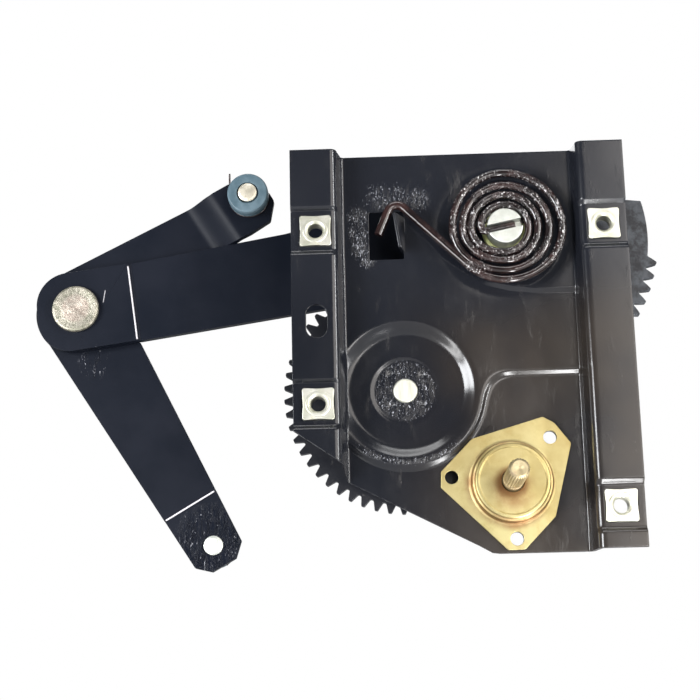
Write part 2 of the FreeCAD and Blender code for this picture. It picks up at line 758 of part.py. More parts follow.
def idler(wheel_angle, pinion_angle):
    centre = {"x": "idler_x", "z": "idler_z"}
    module, teeth = DIMENSIONS["wheel_module"], DIMENSIONS["wheel_teeth"]
    edges = toothed_edges(module, teeth, wheel_angle, teeth)
    wheel = extruded("wheel", edges, "wheel_front", "wheel_thick", **centre)
    module, teeth = DIMENSIONS["sector_module"], DIMENSIONS["idler_pinion_teeth"]
    pinion_front = "wheel_front + wheel_thick"
    edges = toothed_edges(module, teeth, pinion_angle, teeth)
    pinion = extruded("pinion", edges, pinion_front, "idler_pinion_length", **centre)
    rivet_radius = 11.0
    for name, blank in (("idler_wheel", wheel), ("idler_pinion", pinion)):
        tools = [cylinder(name + "_bore", "idler_x", "idler_z", "0", "50", "idler_bush_radius")]
        for index in range(3):
            place = polar(rivet_radius, index * 2 * math.pi / 3)
            tools.append(cylinder(f"{name}_rivet_hole_{index}", f"idler_x + {place.x}",
                                  f"idler_z + {place.z}", "0", "50", "1.5"))
        keep(cut(name, blank, join(name + "_holes", tools)), name)
    rivets = []
    for index in range(3):
        place = polar(rivet_radius, index * 2 * math.pi / 3)
        at = (f"idler_x + {place.x}", f"idler_z + {place.z}")
        shank = cylinder(f"idler_shank_{index}", *at, "wheel_front", "wheel_thick + idler_pinion_length",
                         "1.5")
        rivets.append(shank)
    group("idler_rivets", rivets)
    bush_end = "wheel_front + wheel_thick + idler_pinion_length"
    bush = turned("idler_bush", [
        ("idler_journal_radius + 0.05", "wheel_front"),
        ("idler_bush_radius", "wheel_front"),
        ("idler_bush_radius", bush_end),
        ("idler_journal_radius + 0.05", bush_end),
    ], **centre)
    keep(bush, "idler_bush")
    pin = turned("idler_pin", [
        ("0", "well_front - 2"),
        ("idler_pin_head_radius - 0.5", "well_front - 2"),
        ("idler_pin_head_radius", "well_front - 1.5"),
        ("idler_pin_head_radius", "well_front + sheet"),
        ("9", "well_front + sheet"),
        ("9", "wheel_front - 0.15"),
        ("idler_journal_radius", "wheel_front - 0.15"),
        ("idler_journal_radius", "idler_pin_end - 1.3"),
        ("idler_journal_radius - 0.7", "idler_pin_end - 1.3"),
        ("idler_journal_radius - 0.7", "idler_pin_end - 0.5"),
        ("idler_journal_radius", "idler_pin_end - 0.5"),
        ("idler_journal_radius", "idler_pin_end"),
        ("0", "idler_pin_end"),
    ], **centre)
    keep(pin, "idler_pin")
    washer = turned("idler_washer", [
        ("idler_journal_radius + 0.05", bush_end + " + 0.15"),
        ("9", bush_end + " + 0.15"),
        ("9", "idler_pin_end - 1.35"),
        ("idler_journal_radius + 0.05", "idler_pin_end - 1.35"),
    ], **centre)
    keep(washer, "idler_washer")
    clip = turned("idler_clip", [
        ("idler_journal_radius - 0.65", "idler_pin_end - 1.25"),
        ("8.6", "idler_pin_end - 1.25"),
        ("8.6", "idler_pin_end - 0.55"),
        ("idler_journal_radius - 0.65", "idler_pin_end - 0.55"),
    ], **centre)
    keep(clip, "idler_clip")


# ---------------------------------------------------------------- lift arm and its pivot


def sector_gear():
    module, teeth = DIMENSIONS["sector_module"], DIMENSIONS["sector_full_circle_teeth"]
    count = DIMENSIONS["sector_tooth_count"]
    step = 2 * math.pi / teeth
    first = math.radians(DIMENSIONS["sector_first_tooth_angle"]) - (count - 1) * step
    last = first + (count - 1) * step
    root_radius = module * teeth / 2 - DEDENDUM * module
    foot = tooth_half_angle(module, teeth, root_radius)
    hub = 24.0
    plain_start, plain_end = first - math.radians(8), math.radians(14.5)
    hub_start, hub_end = math.radians(80), first - math.radians(30) + 2 * math.pi
    edges = [arc_edge(root_radius, plain_start, first - foot)]
    edges += toothed_edges(module, teeth, first, count)
    edges.append(arc_edge(root_radius, last + foot, plain_end))
    edges.append(Part.LineSegment(polar(root_radius, plain_end), polar(hub, hub_start)).toShape())
    edges.append(arc_edge(hub, hub_start, hub_end))
    edges.append(Part.LineSegment(polar(hub, hub_end), polar(root_radius, plain_start)).toShape())
    blank = extruded("sector", edges, "sector_front", "sector_thick", "pivot_x", "pivot_z")
    tools = [cylinder("sector_bore", "pivot_x", "pivot_z", "0", "50", "stud_radius - 1.5")]
    for index, (u, v) in enumerate(sector_rivet_places()):
        tools.append(cylinder(f"sector_rivet_hole_{index}", u, v, "0", "50", "3"))
    keep(cut("sector_gear", blank, join("sector_holes", tools)), "sector_gear")


def sector_rivet_places():
    for index in range(3):
        place = polar(18.5, math.radians(100 + 120 * index))
        yield f"pivot_x + {place.x}", f"pivot_z + {place.z}"


def sector_rivets():
    rivets = []
    for index, (u, v) in enumerate(sector_rivet_places()):
        shank = cylinder(f"sector_shank_{index}", u, v, "sector_front", "sector_thick + arm_thick", "3")
        head = cylinder(f"sector_head_{index}", u, v, "sector_front - 1.2", "1.2", "4.6")
        rivets.append(join(f"sector_rivet_{index}", [shank, head]))
    group("sector_rivets", rivets)


def joggled_strip(name, place, angle, levels, thick, half_width, reach):
    """Strip of bent sheet in the body's own frame: it runs along local X, and levels lists
    (distance along it, depth of its front face)."""
    body = new_body(name, *place, angle=angle)
    sketch = new_sketch(body, "XY_Plane", f"-{half_width}")
    front = [(str(-reach[0]), levels[0][1])] + levels + [(str(reach[1]), levels[-1][1])]
    back = [(u, f"{v} + {thick}") for u, v in reversed(front)]
    draw_polygon(sketch, front + back)
    pad(body, sketch, str(2 * half_width))
    return body


def common(name, first, second):
    result = DOC.addObject("Part::Common", name)
    result.Base = first
    result.Tool = second
    return result


def lift_arm():
    place, angle = ("pivot_x", "pivot_z"), DIMENSIONS["arm_angle"]
    levels = [
        ("elbow_joggle_start", "arm_front"),
        ("elbow_joggle_start + 1.2", "arm_front - elbow_joggle"),
    ]
    strip = joggled_strip("arm_strip", place, angle, levels, "arm_thick", 40.0, (40, 260))
    outline = new_body("arm_outline", *place, angle=angle)
    tip = "arm_length + arm_end"
    corners = [
        ("0", "-27"), ("58", "-24.8"), ("98", "-20.6"), ("172.4", "-18.1"), (tip, "-18.4"),
        (tip, "19.1"), ("171.9", "19"), ("0", "17.2"),
    ]
    slab(outline, corners, "sector_front", "20")
    disc(outline, "sector_front", "20", "24")
    hole(outline, "0", "60", "stud_radius - 1.5")
    hole(outline, "0", "60", "rivet_shank_radius", "arm_length")
    round_corners(outline, "15", [(tip, "-18.4"), (tip, "19.1")])
    trimmed = common("arm_trimmed", strip, outline)
    holes = [
        cylinder(f"arm_rivet_hole_{index}", u, v, "0", "60", "3")
        for index, (u, v) in enumerate(sector_rivet_places())
    ]
    keep(cut("lift_arm", trimmed, join("arm_holes", holes)), "lift_arm")


def elbow_parts():
    elbow = elbow_place()
    front = "arm_front - elbow_joggle"
    back = LEVER_FRONT + " + lever_thick"
    rivet = turned("elbow_rivet", [
        ("0", front + " - rivet_head_height"),
        ("rivet_head_radius - 0.8", front + " - rivet_head_height"),
        ("rivet_head_radius", front + " - rivet_head_height + 0.8"),
        ("rivet_head_radius", front),
        ("rivet_shank_radius", front),
        ("rivet_shank_radius", back + " + 0.1"),
        ("rivet_head_radius - 0.8", back + " + 0.1"),
        ("rivet_head_radius - 0.8", back + " + 1.8"),
        ("rivet_head_radius - 1.8", back + " + 2.5"),
        ("0", back + " + 2.5"),
    ], *elbow)
    keep(rivet, "elbow_rivet")
    spacer = turned("elbow_spacer", [
        ("rivet_shank_radius + 0.05", front + " + arm_thick"),
        ("14", front + " + arm_thick"),
        ("14", front + " + arm_thick + elbow_spacer_thick"),
        ("rivet_shank_radius + 0.05", front + " + arm_thick + elbow_spacer_thick"),
    ], *elbow)
    keep(spacer, "elbow_spacer")


LEVER_FRONT = "arm_front - elbow_joggle + arm_thick + elbow_spacer_thick + 0.1"


def elbow_place():
    """Sums for the elbow's place, which follows from the arm's length and angle."""
    reach = polar(DIMENSIONS["arm_length"], math.radians(DIMENSIONS["arm_angle"]))
    return f"pivot_x + {reach.x}", f"pivot_z + {reach.z}"


def lift_pivot():
    stud = turned("lift_pivot_stud", [
        ("0", "stud_front"),
        ("stud_radius - 0.6", "stud_front"),
        ("stud_radius", "stud_front + 0.6"),
        ("stud_radius", "sector_front"),
        ("stud_radius - 1.5", "sector_front"),
        ("stud_radius - 1.5", "arm_front + arm_thick"),
        ("stud_radius + 0.5", "arm_front + arm_thick"),
        ("stud_radius + 0.5", "arm_front + arm_thick + 1.6"),
        ("0", "arm_front + arm_thick + 1.6"),
    ], "pivot_x", "pivot_z")
    stud.Placement = Placement(
        stud.Placement.Base, Rotation(Vector(0, -1, 0), DIMENSIONS["stud_slot_angle"])
    )
    half = str(DIMENSIONS["stud_slot_width"] / 2)
    window(stud, box_corners("-20", "20", "-" + half, half), "stud_front", "stud_slot_depth")
    keep(stud, "lift_pivot_stud")
    sleeve = turned("pivot_sleeve", [
        ("stud_radius + 0.05", "spring_dish_front"),
        ("collar_radius", "spring_dish_front"),
        ("collar_radius", "spring_dish_front + sheet"),
        ("pivot_sleeve_radius", "spring_dish_front + sheet"),
        ("pivot_sleeve_radius", "sector_front - 0.3"),
        ("stud_radius + 0.05", "sector_front - 0.3"),
    ], "pivot_x", "pivot_z")
    keep(sleeve, "pivot_sleeve")
    collar = turned("pivot_collar", [
        ("stud_radius", "spring_dish_front - 1.9"),
        ("collar_radius", "spring_dish_front - 1.9"),
        ("collar_radius", "spring_dish_front - 0.3"),
        ("stud_radius", "spring_dish_front - 0.3"),
    ], "pivot_x", "pivot_z")
    window(collar, box_corners("-1.8", "1.8", "- collar_radius - 1", "- collar_radius + 1.3"),
           "0", "30")
    keep(collar, "pivot_collar")


# ---------------------------------------------------------------- counterbalance spring


def polar_arc(centre, radius, start, end):
    points = [centre + polar(radius, angle) for angle in (start, (start + end) / 2, end)]
    return Part.Arc(*points).toShape()


def short_arc(centre, start, end):
    """Edge of the short arc about centre from start to end."""
    radius = (start - centre).Length
    middle = centre + ((start - centre) + (end - centre)).normalize() * radius
    return Part.Arc(start, middle, end).toShape()


def eased_quarter(middle, angle, first, last):
    """Two arcs over a quarter turn about middle, from the reach first to the reach last, square
    to the reach at both ends and smooth where they meet."""
    out, ahead = polar(1, angle), polar(1, angle + math.pi / 2)
    near = last - 0.4 * (first - last)
    far = (first ** 2 - 2 * first * near + last ** 2) / (2 * (last - near))
    near_centre, far_centre = middle + out * (first - near), middle + ahead * (last - far)
    if near < far:
        meeting = far_centre + (near_centre - far_centre).normalize() * far
    else:
        meeting = near_centre + (far_centre - near_centre).normalize() * near
    return [short_arc(near_centre, middle + out * first, meeting),
            short_arc(far_centre, meeting, middle + ahead * last)]


def spring_coils(middle, start, slot):
    """Edges of a flat spiral that starts at the angle start, runs anticlockwise inwards to the
    spring's end radius on the stud's right, and turns into the slot at the angle slot."""
    quarter = math.pi / 2
    last = DIMENSIONS["spring_end_radius"]
    reaches = SPRING_REACHES + [last]
    edges = [polar_arc(middle, reaches[0], start, 3 * quarter)]
    for index, (before, after) in enumerate(zip(reaches, reaches[1:])):
        edges += eased_quarter(middle, (3 + index) * quarter, before, after)
    bend_reach = last - SPRING_BEND
    spread = math.asin(SPRING_BEND / bend_reach)
    end = slot - spread
    edges.append(polar_arc(middle, last, 0.0, end))
    centre = middle + polar(bend_reach, end)
    edges.append(polar_arc(centre, SPRING_BEND, end, end + spread + quarter))
    inner = middle + polar(bend_reach * math.cos(spread), slot)
    edges.append(Part.LineSegment(inner, middle - polar(4.0, slot)).toShape())
    return edges


def counterbalance_spring():
    depth = DIMENSIONS["spring_middle"]
    middle = Vector(DIMENSIONS["pivot_x"], depth, DIMENSIONS["pivot_z"])
    bend = Vector(DIMENSIONS["tail_bend_x"], depth, DIMENSIONS["tail_bend_z"])
    end = Vector(DIMENSIONS["tail_end_x"], depth, DIMENSIONS["tail_end_z"])
    outer = SPRING_REACHES[0]
    to_bend = bend - middle
    start = math.atan2(to_bend.z, to_bend.x) + math.acos(outer / to_bend.Length)
    coils = spring_coils(middle, start, math.radians(DIMENSIONS["stud_slot_angle"]) + math.pi)
    tail = rounded_path([end, bend, middle + polar(outer, start)], 3.4)
    wire = Part.Wire(tail + coils)
    section = Part.Wire(Part.Circle(end, bend - end, DIMENSIONS["spring_wire"] / 2).toShape())
    coil = wire.makePipeShell([section], True, False)
    keep(drawn("counterbalance_spring", coil), "counterbalance_spring")


def rounded_path(points, radius):
    """Straight runs through points, joined by arcs of this radius."""
    edges, start = [], points[0]
    for before, corner, after in zip(points, points[1:], points[2:]):
        back, ahead = (before - corner).normalize(), (after - corner).normalize()
        half = back.getAngle(ahead) / 2
        setback = radius / math.tan(half)
        middle = corner + (back + ahead).normalize() * (radius / math.sin(half) - radius)
        arc = Part.Arc(corner + back * setback, middle, corner + ahead * setback)
        edges += [Part.LineSegment(start, arc.StartPoint).toShape(), arc.toShape()]
        start = arc.EndPoint
    return edges + [Part.LineSegment(start, points[-1]).toShape()]


# ---------------------------------------------------------------- forked lever and rollers


def forked_lever():
    elbow = elbow_place()
    upper_levels = [
        ("land_start - land_run", LEVER_FRONT),
        ("land_start", LEVER_FRONT + " - land_rise"),
    ]
    lower_levels = [("tip_set_start", LEVER_FRONT), ("tip_set_start + 2", LEVER_FRONT + " + tip_set")]
    upper_strip = joggled_strip("upper_strip", elbow, DIMENSIONS["upper_arm_angle"], upper_levels,
                                "lever_thick", 30.0, (0, 120))
    lower_strip = joggled_strip("lower_strip", elbow, DIMENSIONS["lower_arm_angle"], lower_levels,
                                "lever_thick", 30.0, (0, 150))
    upper = new_body("upper_outline", *elbow, angle=DIMENSIONS["upper_arm_angle"])
    upper_corners = [
        ("0", "-19.5"), ("64", "-17.8"), ("70", "-10.2"), ("79.5", "-13.9"), ("86.5", "-14.6"),
        ("97.2", "-14.5"), ("103.8", "-7.3"), ("104", "-3"), ("99.4", "9.4"), ("90", "11.4"),
        ("80", "11.6"), ("70", "14.1"), ("0", "20.8"),
    ]
    slab(upper, upper_corners, "0", "60")
    hole(upper, "0", "60", "roller_pin_radius", "upper_arm_length")
    lower = new_body("lower_outline", *elbow, angle=DIMENSIONS["lower_arm_angle"])
    lower_corners = [
        ("0", "-19.4"), ("130", "-12"), ("135.5", "-6.2"), ("135.6", "5.8"), ("130", "11.8"),
        ("0", "19"),
    ]
    slab(lower, lower_corners, "0", "60")
    hole(lower, "0", "60", "roller_pin_radius", "lower_arm_length")
    hub = cylinder("lever_hub", *elbow, LEVER_FRONT, "lever_thick", "lever_hub_radius")
    arms = [common("upper_arm", upper_strip, upper), common("lower_arm", lower_strip, lower), hub]
    bore = cylinder("lever_bore", *elbow, "0", "60", "rivet_shank_radius + 0.05")
    keep(cut("forked_lever", join("lever_blank", arms), bore), "forked_lever")


def pin_place(arm):
    """Sums for the place of the roller pin at the end of one arm of the lever."""
    reach = polar(DIMENSIONS["arm_length"], math.radians(DIMENSIONS["arm_angle"]))
    reach += polar(DIMENSIONS[arm + "_arm_length"], math.radians(DIMENSIONS[arm + "_arm_angle"]))
    return f"pivot_x + {reach.x}", f"pivot_z + {reach.z}"


def rollers():
    """The upper roller stands in front of its arm and the lower one behind, on equal pins."""
    land_front = LEVER_FRONT + " - land_rise"
    tip_back = LEVER_FRONT + " + tip_set + lever_thick"
    for arm, near, far, toward in (
        ("upper", land_front, land_front + " + lever_thick", "-"),
        ("lower", tip_back, tip_back + " - lever_thick", "+"),
    ):
        away = "+" if toward == "-" else "-"
        place = pin_place(arm)
        roller_near = f"{near} {toward} ring_wire {toward} 0.3"
        roller_far = f"{roller_near} {toward} roller_width"
        pin = turned(arm + "_roller_pin", [
            ("0", f"{far} {away} 0.8"),
            ("pin_head_radius", f"{far} {away} 0.8"),
            ("pin_head_radius", far),
            ("roller_pin_radius", far),
            ("roller_pin_radius", f"{roller_far} {toward} 0.1"),
            ("pin_head_radius", f"{roller_far} {toward} 0.1"),
            ("pin_head_radius - 0.3", f"{roller_far} {toward} 1"),
            ("0", f"{roller_far} {toward} 1"),
        ], *place)
        keep(pin, arm + "_roller_pin")
        roller = turned(arm + "_roller", [
            ("roller_bore", roller_near),
            ("roller_radius - 0.6", roller_near),
            ("roller_radius", f"{roller_near} {toward} 0.6"),
            ("roller_radius", f"{roller_far} {away} 0.7"),
            ("roller_radius - 0.7", roller_far),
            ("roller_bore", roller_far),
        ], *place)
        keep(roller, arm + "_roller")
        ring(arm, near, toward, place)


def ring(arm, near, toward, place):
    """Open wire ring that lies between the arm and its roller, with one straight end."""
    side = -1 if toward == "-" else 1
    depth = amount(near) + side * (DIMENSIONS["ring_wire"] / 2 + 0.05)
    centre = Vector(amount(place[0]), depth, amount(place[1]))
    radius = DIMENSIONS[arm + "_ring_radius"]
    start = math.radians(DIMENSIONS[arm + "_ring_start"])
    along = polar(1, start + math.pi / 2)
    loop = polar_arc(centre, radius, start, start + math.radians(315))
    first = centre + polar(radius, start)
    tail_end = first - along * DIMENSIONS[arm + "_ring_tail"]
    spine = Part.Wire([Part.LineSegment(tail_end, first).toShape(), loop])
    section = Part.Wire(Part.Circle(tail_end, along, DIMENSIONS["ring_wire"] / 2).toShape())
    solid = spine.makePipeShell([section], True, False)
    keep(drawn(arm + "_roller_ring", solid), arm + "_roller_ring")


# ---------------------------------------------------------------- assembly


def shaft_angle(first, second):
    """Angle of the line from one shaft to another."""
    along = DIMENSIONS[second + "_x"] - DIMENSIONS[first + "_x"]
    up = DIMENSIONS[second + "_z"] - DIMENSIONS[first + "_z"]
    return math.atan2(up, along)


def write_pieces():
    DOC.recompute()
    for thing in DOC.Objects:
        if {"Invalid", "Error"} & set(thing.State):
            raise RuntimeError(f"{thing.Name} failed: {thing.State}")
    os.makedirs("parts", exist_ok=True)
    for piece in PIECES:
        shape = piece.Shape
        if shape.isNull() or not shape.isValid() or not shape.Solids:
            raise RuntimeError(f"{piece.Label} has no valid solid")
        shape.exportStep(f"parts/{piece.Label}.step")
        print(f"{piece.Label}: {len(shape.Solids)} solid, {shape.Volume:.0f} mm3")


fill_sheet()
base_plate()
weld_nuts()
crank_housing()
crank_spindle()
brake()

sector_angle = math.radians(DIMENSIONS["sector_first_tooth_angle"])
idler_pinion_angle = mesh_angle(
    sector_angle, DIMENSIONS["sector_full_circle_teeth"], shaft_angle("pivot", "idler"),
    DIMENSIONS["idler_pinion_teeth"],
)
wheel_angle = math.radians(163.0)
crank_line = math.atan2(-DIMENSIONS["idler_z"], -DIMENSIONS["idler_x"])
crank_pinion_angle = mesh_angle(
    wheel_angle, DIMENSIONS["wheel_teeth"], crank_line, DIMENSIONS["crank_pinion_teeth"]
)
crank_pinion(crank_pinion_angle)
idler(wheel_angle, idler_pinion_angle)
sector_gear()
sector_rivets()
lift_arm()
elbow_parts()
lift_pivot()
counterbalance_spring()
forked_lever()
rollers()
write_pieces()
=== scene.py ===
import json
import math

import bmesh
import bpy
from mathutils import Matrix, Vector, noise


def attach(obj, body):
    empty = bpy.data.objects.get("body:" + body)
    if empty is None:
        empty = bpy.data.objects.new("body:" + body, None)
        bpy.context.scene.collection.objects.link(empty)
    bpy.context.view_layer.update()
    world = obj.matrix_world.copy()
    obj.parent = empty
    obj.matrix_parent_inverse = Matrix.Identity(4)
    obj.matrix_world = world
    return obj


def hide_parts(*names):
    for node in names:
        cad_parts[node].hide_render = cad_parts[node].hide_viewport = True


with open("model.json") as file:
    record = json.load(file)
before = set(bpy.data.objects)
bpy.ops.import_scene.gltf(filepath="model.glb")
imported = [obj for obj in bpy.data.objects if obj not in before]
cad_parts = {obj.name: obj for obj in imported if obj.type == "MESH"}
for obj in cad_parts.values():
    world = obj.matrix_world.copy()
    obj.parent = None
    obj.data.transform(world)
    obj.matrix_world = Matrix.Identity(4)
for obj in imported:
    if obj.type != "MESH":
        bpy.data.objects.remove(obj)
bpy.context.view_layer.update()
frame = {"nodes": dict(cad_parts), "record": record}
MM = 0.001


# ---- places, as (x, z) in mm


def flat_place(named):
    """(x, z) in mm of a joint or a mount of the record."""
    return tuple(round(named["pos_m"][i] / MM, 6) for i in (0, 2))


JOINTS = {joint["name"]: flat_place(joint) for joint in frame["record"]["behaviour"]["joints"]}
CRANK, IDLER, PIVOT = JOINTS["crank_spin"], JOINTS["idler_spin"], JOINTS["lift_arm_swing"]
ELBOW, UPPER, LOWER = JOINTS["lever_swing"], JOINTS["upper_roller_spin"], JOINTS["lower_roller_spin"]
NUT_PLACES = [flat_place(mount) for mount in frame["record"]["mounts"] if mount["name"].endswith("_nut")]
SCREW_HOLES = [flat_place(mount) for mount in frame["record"]["mounts"] if "screw_hole" in mount["name"]]


# ---- materials


class Nodes:
    """A material's node tree, with short calls for the nodes that the finishes here need."""

    def __init__(self, name):
        self.material = bpy.data.materials.new(name)
        self.material.use_nodes = True
        self.tree = self.material.node_tree
        self.shader = self.tree.nodes["Principled BSDF"]
        self.place = self.tree.nodes.new("ShaderNodeTexCoord").outputs["Object"]

    def set(self, **values):
        """Sets the shader's own sockets, named with _ for a space."""
        for name, value in values.items():
            self.shader.inputs[name.replace("_", " ")].default_value = value

    def link(self, output, socket):
        self.tree.links.new(output, self.shader.inputs[socket])

    def add(self, kind, inputs, **settings):
        """New node; inputs maps the number or name of a socket to an output or a value."""
        node = self.tree.nodes.new("ShaderNode" + kind)
        for name, value in settings.items():
            setattr(node, name, value)
        for key, value in inputs.items():
            if isinstance(value, bpy.types.NodeSocket):
                self.tree.links.new(value, node.inputs[key])
            else:
                node.inputs[key].default_value = value
        return node

    def noise(self, per_metre, detail=4.0, rough=0.55, stretch=None, distortion=0.0):
        """Cloudy noise; stretch is a scale and, where it is longer, a turn for each axis."""
        place = self.place
        if stretch:
            turned_place = {"Vector": place, "Scale": stretch[:3], "Rotation": stretch[3:] or (0, 0, 0)}
            place = self.add("Mapping", turned_place).outputs["Vector"]
        return self.add("TexNoise", {"Vector": place, "Scale": per_metre, "Detail": detail,
                                     "Roughness": rough, "Distortion": distortion}).outputs["Fac"]

    def vector(self, operation, first, second=(0, 0, 0)):
        return self.add("VectorMath", {0: first, 1: second}, operation=operation).outputs

    def from_place(self, x, z):
        return self.vector("SUBTRACT", self.place, (x * MM, 0, z * MM))["Vector"]

    def near(self, place, inner, outer, counted=(1, 0, 1)):
        """1 within inner of the place (x, z), 0 beyond outer, in mm along the axes that are counted."""
        offset = self.vector("MULTIPLY", self.from_place(*place), counted)["Vector"]
        return self.ramp(self.vector("LENGTH", offset)["Value"], inner * MM, outer * MM, 1.0, 0.0)

    def axis(self, letter):
        """The coordinate along X, Y or Z, in metres."""
        return self.add("SeparateXYZ", {0: self.place}).outputs[letter]

    def rings(self, place, per_metre):
        """Fine rings round the depth axis through place."""
        inputs = {"Scale": per_metre, "Distortion": 1.5, "Vector": self.from_place(*place)}
        return self.add("TexWave", inputs, wave_type="RINGS", rings_direction="Y").outputs["Fac"]

    def line(self, start, end, width):
        """1 within half a width of the line between two (x, z) places in mm."""
        ease = 0.8
        length = math.hypot(end[0] - start[0], end[1] - start[1])
        u, w = (end[0] - start[0]) / length, (end[1] - start[1]) / length
        along, beside = (self.minus(self.vector("DOT_PRODUCT", self.place, (a / MM, 0, b / MM))["Value"],
                                    start[0] * a + start[1] * b) for a, b in ((u, w), (-w, u)))
        across = self.ramp(self.math("ABSOLUTE", beside, 0), width * 0.35, width * 0.65, 1.0, 0.0)
        inside = self.times(self.ramp(along, 0, ease), self.ramp(along, length - ease, length, 1.0, 0.0))
        return self.times(across, inside)

    def ramp(self, value, low, high, at_low=0.0, at_high=1.0):
        """Smooth change from at_low to at_high while the value goes from low to high."""
        return self.add("MapRange", {0: value, 1: low, 2: high, 3: at_low, 4: at_high},
                        interpolation_type="SMOOTHSTEP").outputs[0]

    def math(self, operation, first, second):
        return self.add("Math", {0: first, 1: second}, operation=operation).outputs[0]

    def times(self, first, second):
        return self.math("MULTIPLY", first, second)

    def plus(self, first, second):
        return self.math("ADD", first, second)

    def minus(self, first, second):
        return self.math("SUBTRACT", first, second)

    def most(self, first, second):
        return self.math("MAXIMUM", first, second)

    def mix(self, factor, first, second):
        """Colour between first and second, each an output or (red, green, blue)."""
        first, second = ((*c, 1.0) if isinstance(c, tuple) else c for c in (first, second))
        return self.add("Mix", {"Factor": factor, 6: first, 7: second}, data_type="RGBA").outputs[2]

    def finished(self, colour, rough, *layers):
        """The material; layers are (height output, distance in mm), one bump node each."""
        self.link(colour, "Base Color")
        self.link(rough, "Roughness")
        before = {}
        for height, distance in layers:
            inputs = {"Height": height, "Distance": distance * MM, "Strength": 1.0, **before}
            before = {"Normal": self.add("Bump", inputs).outputs["Normal"]}
        self.link(before["Normal"], "Normal")
        return self.material


# (x, z, full within, none beyond, share) of the grease round the window, in mm
GREASE_SPOTS = ((-64.0, 122, 1, 8, 0.85), (-64.4, 114, 1, 8, 0.85), (-63.4, 107.5, 1, 7, 0.85),
                (-54, 130.5, 1, 11, 0.62), (-44, 132, 1, 10, 0.5), (-36.5, 130, 1, 8.5, 0.72),
                (-60, 101.5, 0.5, 6, 0.8))


def strokes(n, per_metre, low, high, lean=0.16):
    """Fine, nearly upright brush marks."""
    long_marks = n.noise(per_metre, 5, 0.72, (1, 1, 0.16, 0, lean, 0), 0.6)
    return n.ramp(long_marks, low, high)


def plate_paint():
    """Black dip paint over pressed steel, wiped with oil, with brushed grease in places and painted
    highlights as pale specks in the grease.
    """
    n = Nodes("plate_paint")
    n.set(Metallic=0.0, IOR=1.5)
    wiped = n.ramp(n.noise(34, 5, 0.62, (1, 1, 0.6)), 0.40, 0.68)
    smears = n.ramp(n.noise(150, 6, 0.7, (1, 1, 0.3, 0, 0.7, 0)), 0.55, 0.78)
    greased = n.times(n.near(IDLER, 12.5, 15.0), 0.46)
    for x, z, inner, outer, share in GREASE_SPOTS:
        greased = n.most(greased, n.times(n.near((x, z), inner, outer), share))
    rim = n.minus(n.near(IDLER, 32.4, 35.0), n.near(IDLER, 29.8, 31.8))
    greased = n.most(greased, n.times(rim, n.ramp(n.axis("Z"), 0.022, 0.011, 0.0, 0.66)))
    marks = n.most(strokes(n, 620, 0.50, 0.62), n.times(strokes(n, 1100, 0.52, 0.66, -0.5), 0.8))
    lumps = n.times(n.times(greased, greased), marks)
    specks = n.ramp(n.noise(330, 4, 0.7), 0.70, 0.78)
    right = n.ramp(n.axis("X"), -0.062, 0.004)
    low = n.ramp(n.axis("Z"), 0.10, 0.06)
    brown = n.times(n.times(right, low), n.ramp(n.noise(16, 3, 0.5), 0.25, 0.6))
    base = n.mix(low, (0.0092, 0.0102, 0.0140), (0.0060, 0.0068, 0.0098))
    base = n.mix(brown, base, (0.0245, 0.0200, 0.0168))
    base = n.mix(n.times(smears, 0.45), base, (0.030, 0.028, 0.027))
    base = n.mix(n.times(specks, 0.4), base, (0.09, 0.085, 0.08))
    # painted highlights: pale specks in the greased zones, put in the base colour to stand for glints of
    # the lamps
    shreds = n.noise(1750, 4, 0.66, (1, 1, 0.36, 0, 0.35, 0), 1.1)
    cover = n.plus(n.times(greased, 0.105), n.times(n.noise(230, 3, 0.6), 0.16))
    painted_glints = n.times(n.ramp(n.plus(shreds, cover), 0.735, 0.80), n.ramp(greased, 0.02, 0.25))
    base = n.mix(painted_glints, base, (0.40, 0.41, 0.45))
    oiled = n.near(PIVOT, 29.6, 30.8)
    rough = n.plus(n.plus(n.times(wiped, 0.10), 0.16), n.times(smears, 0.14))
    rough = n.minus(n.minus(rough, n.times(lumps, 0.08)), n.times(oiled, 0.10))
    orange_peel = n.noise(900, 2, 0.5)
    return n.finished(base, rough, (orange_peel, 0.008), (smears, 0.03), (lumps, 0.13), (specks, 0.05))


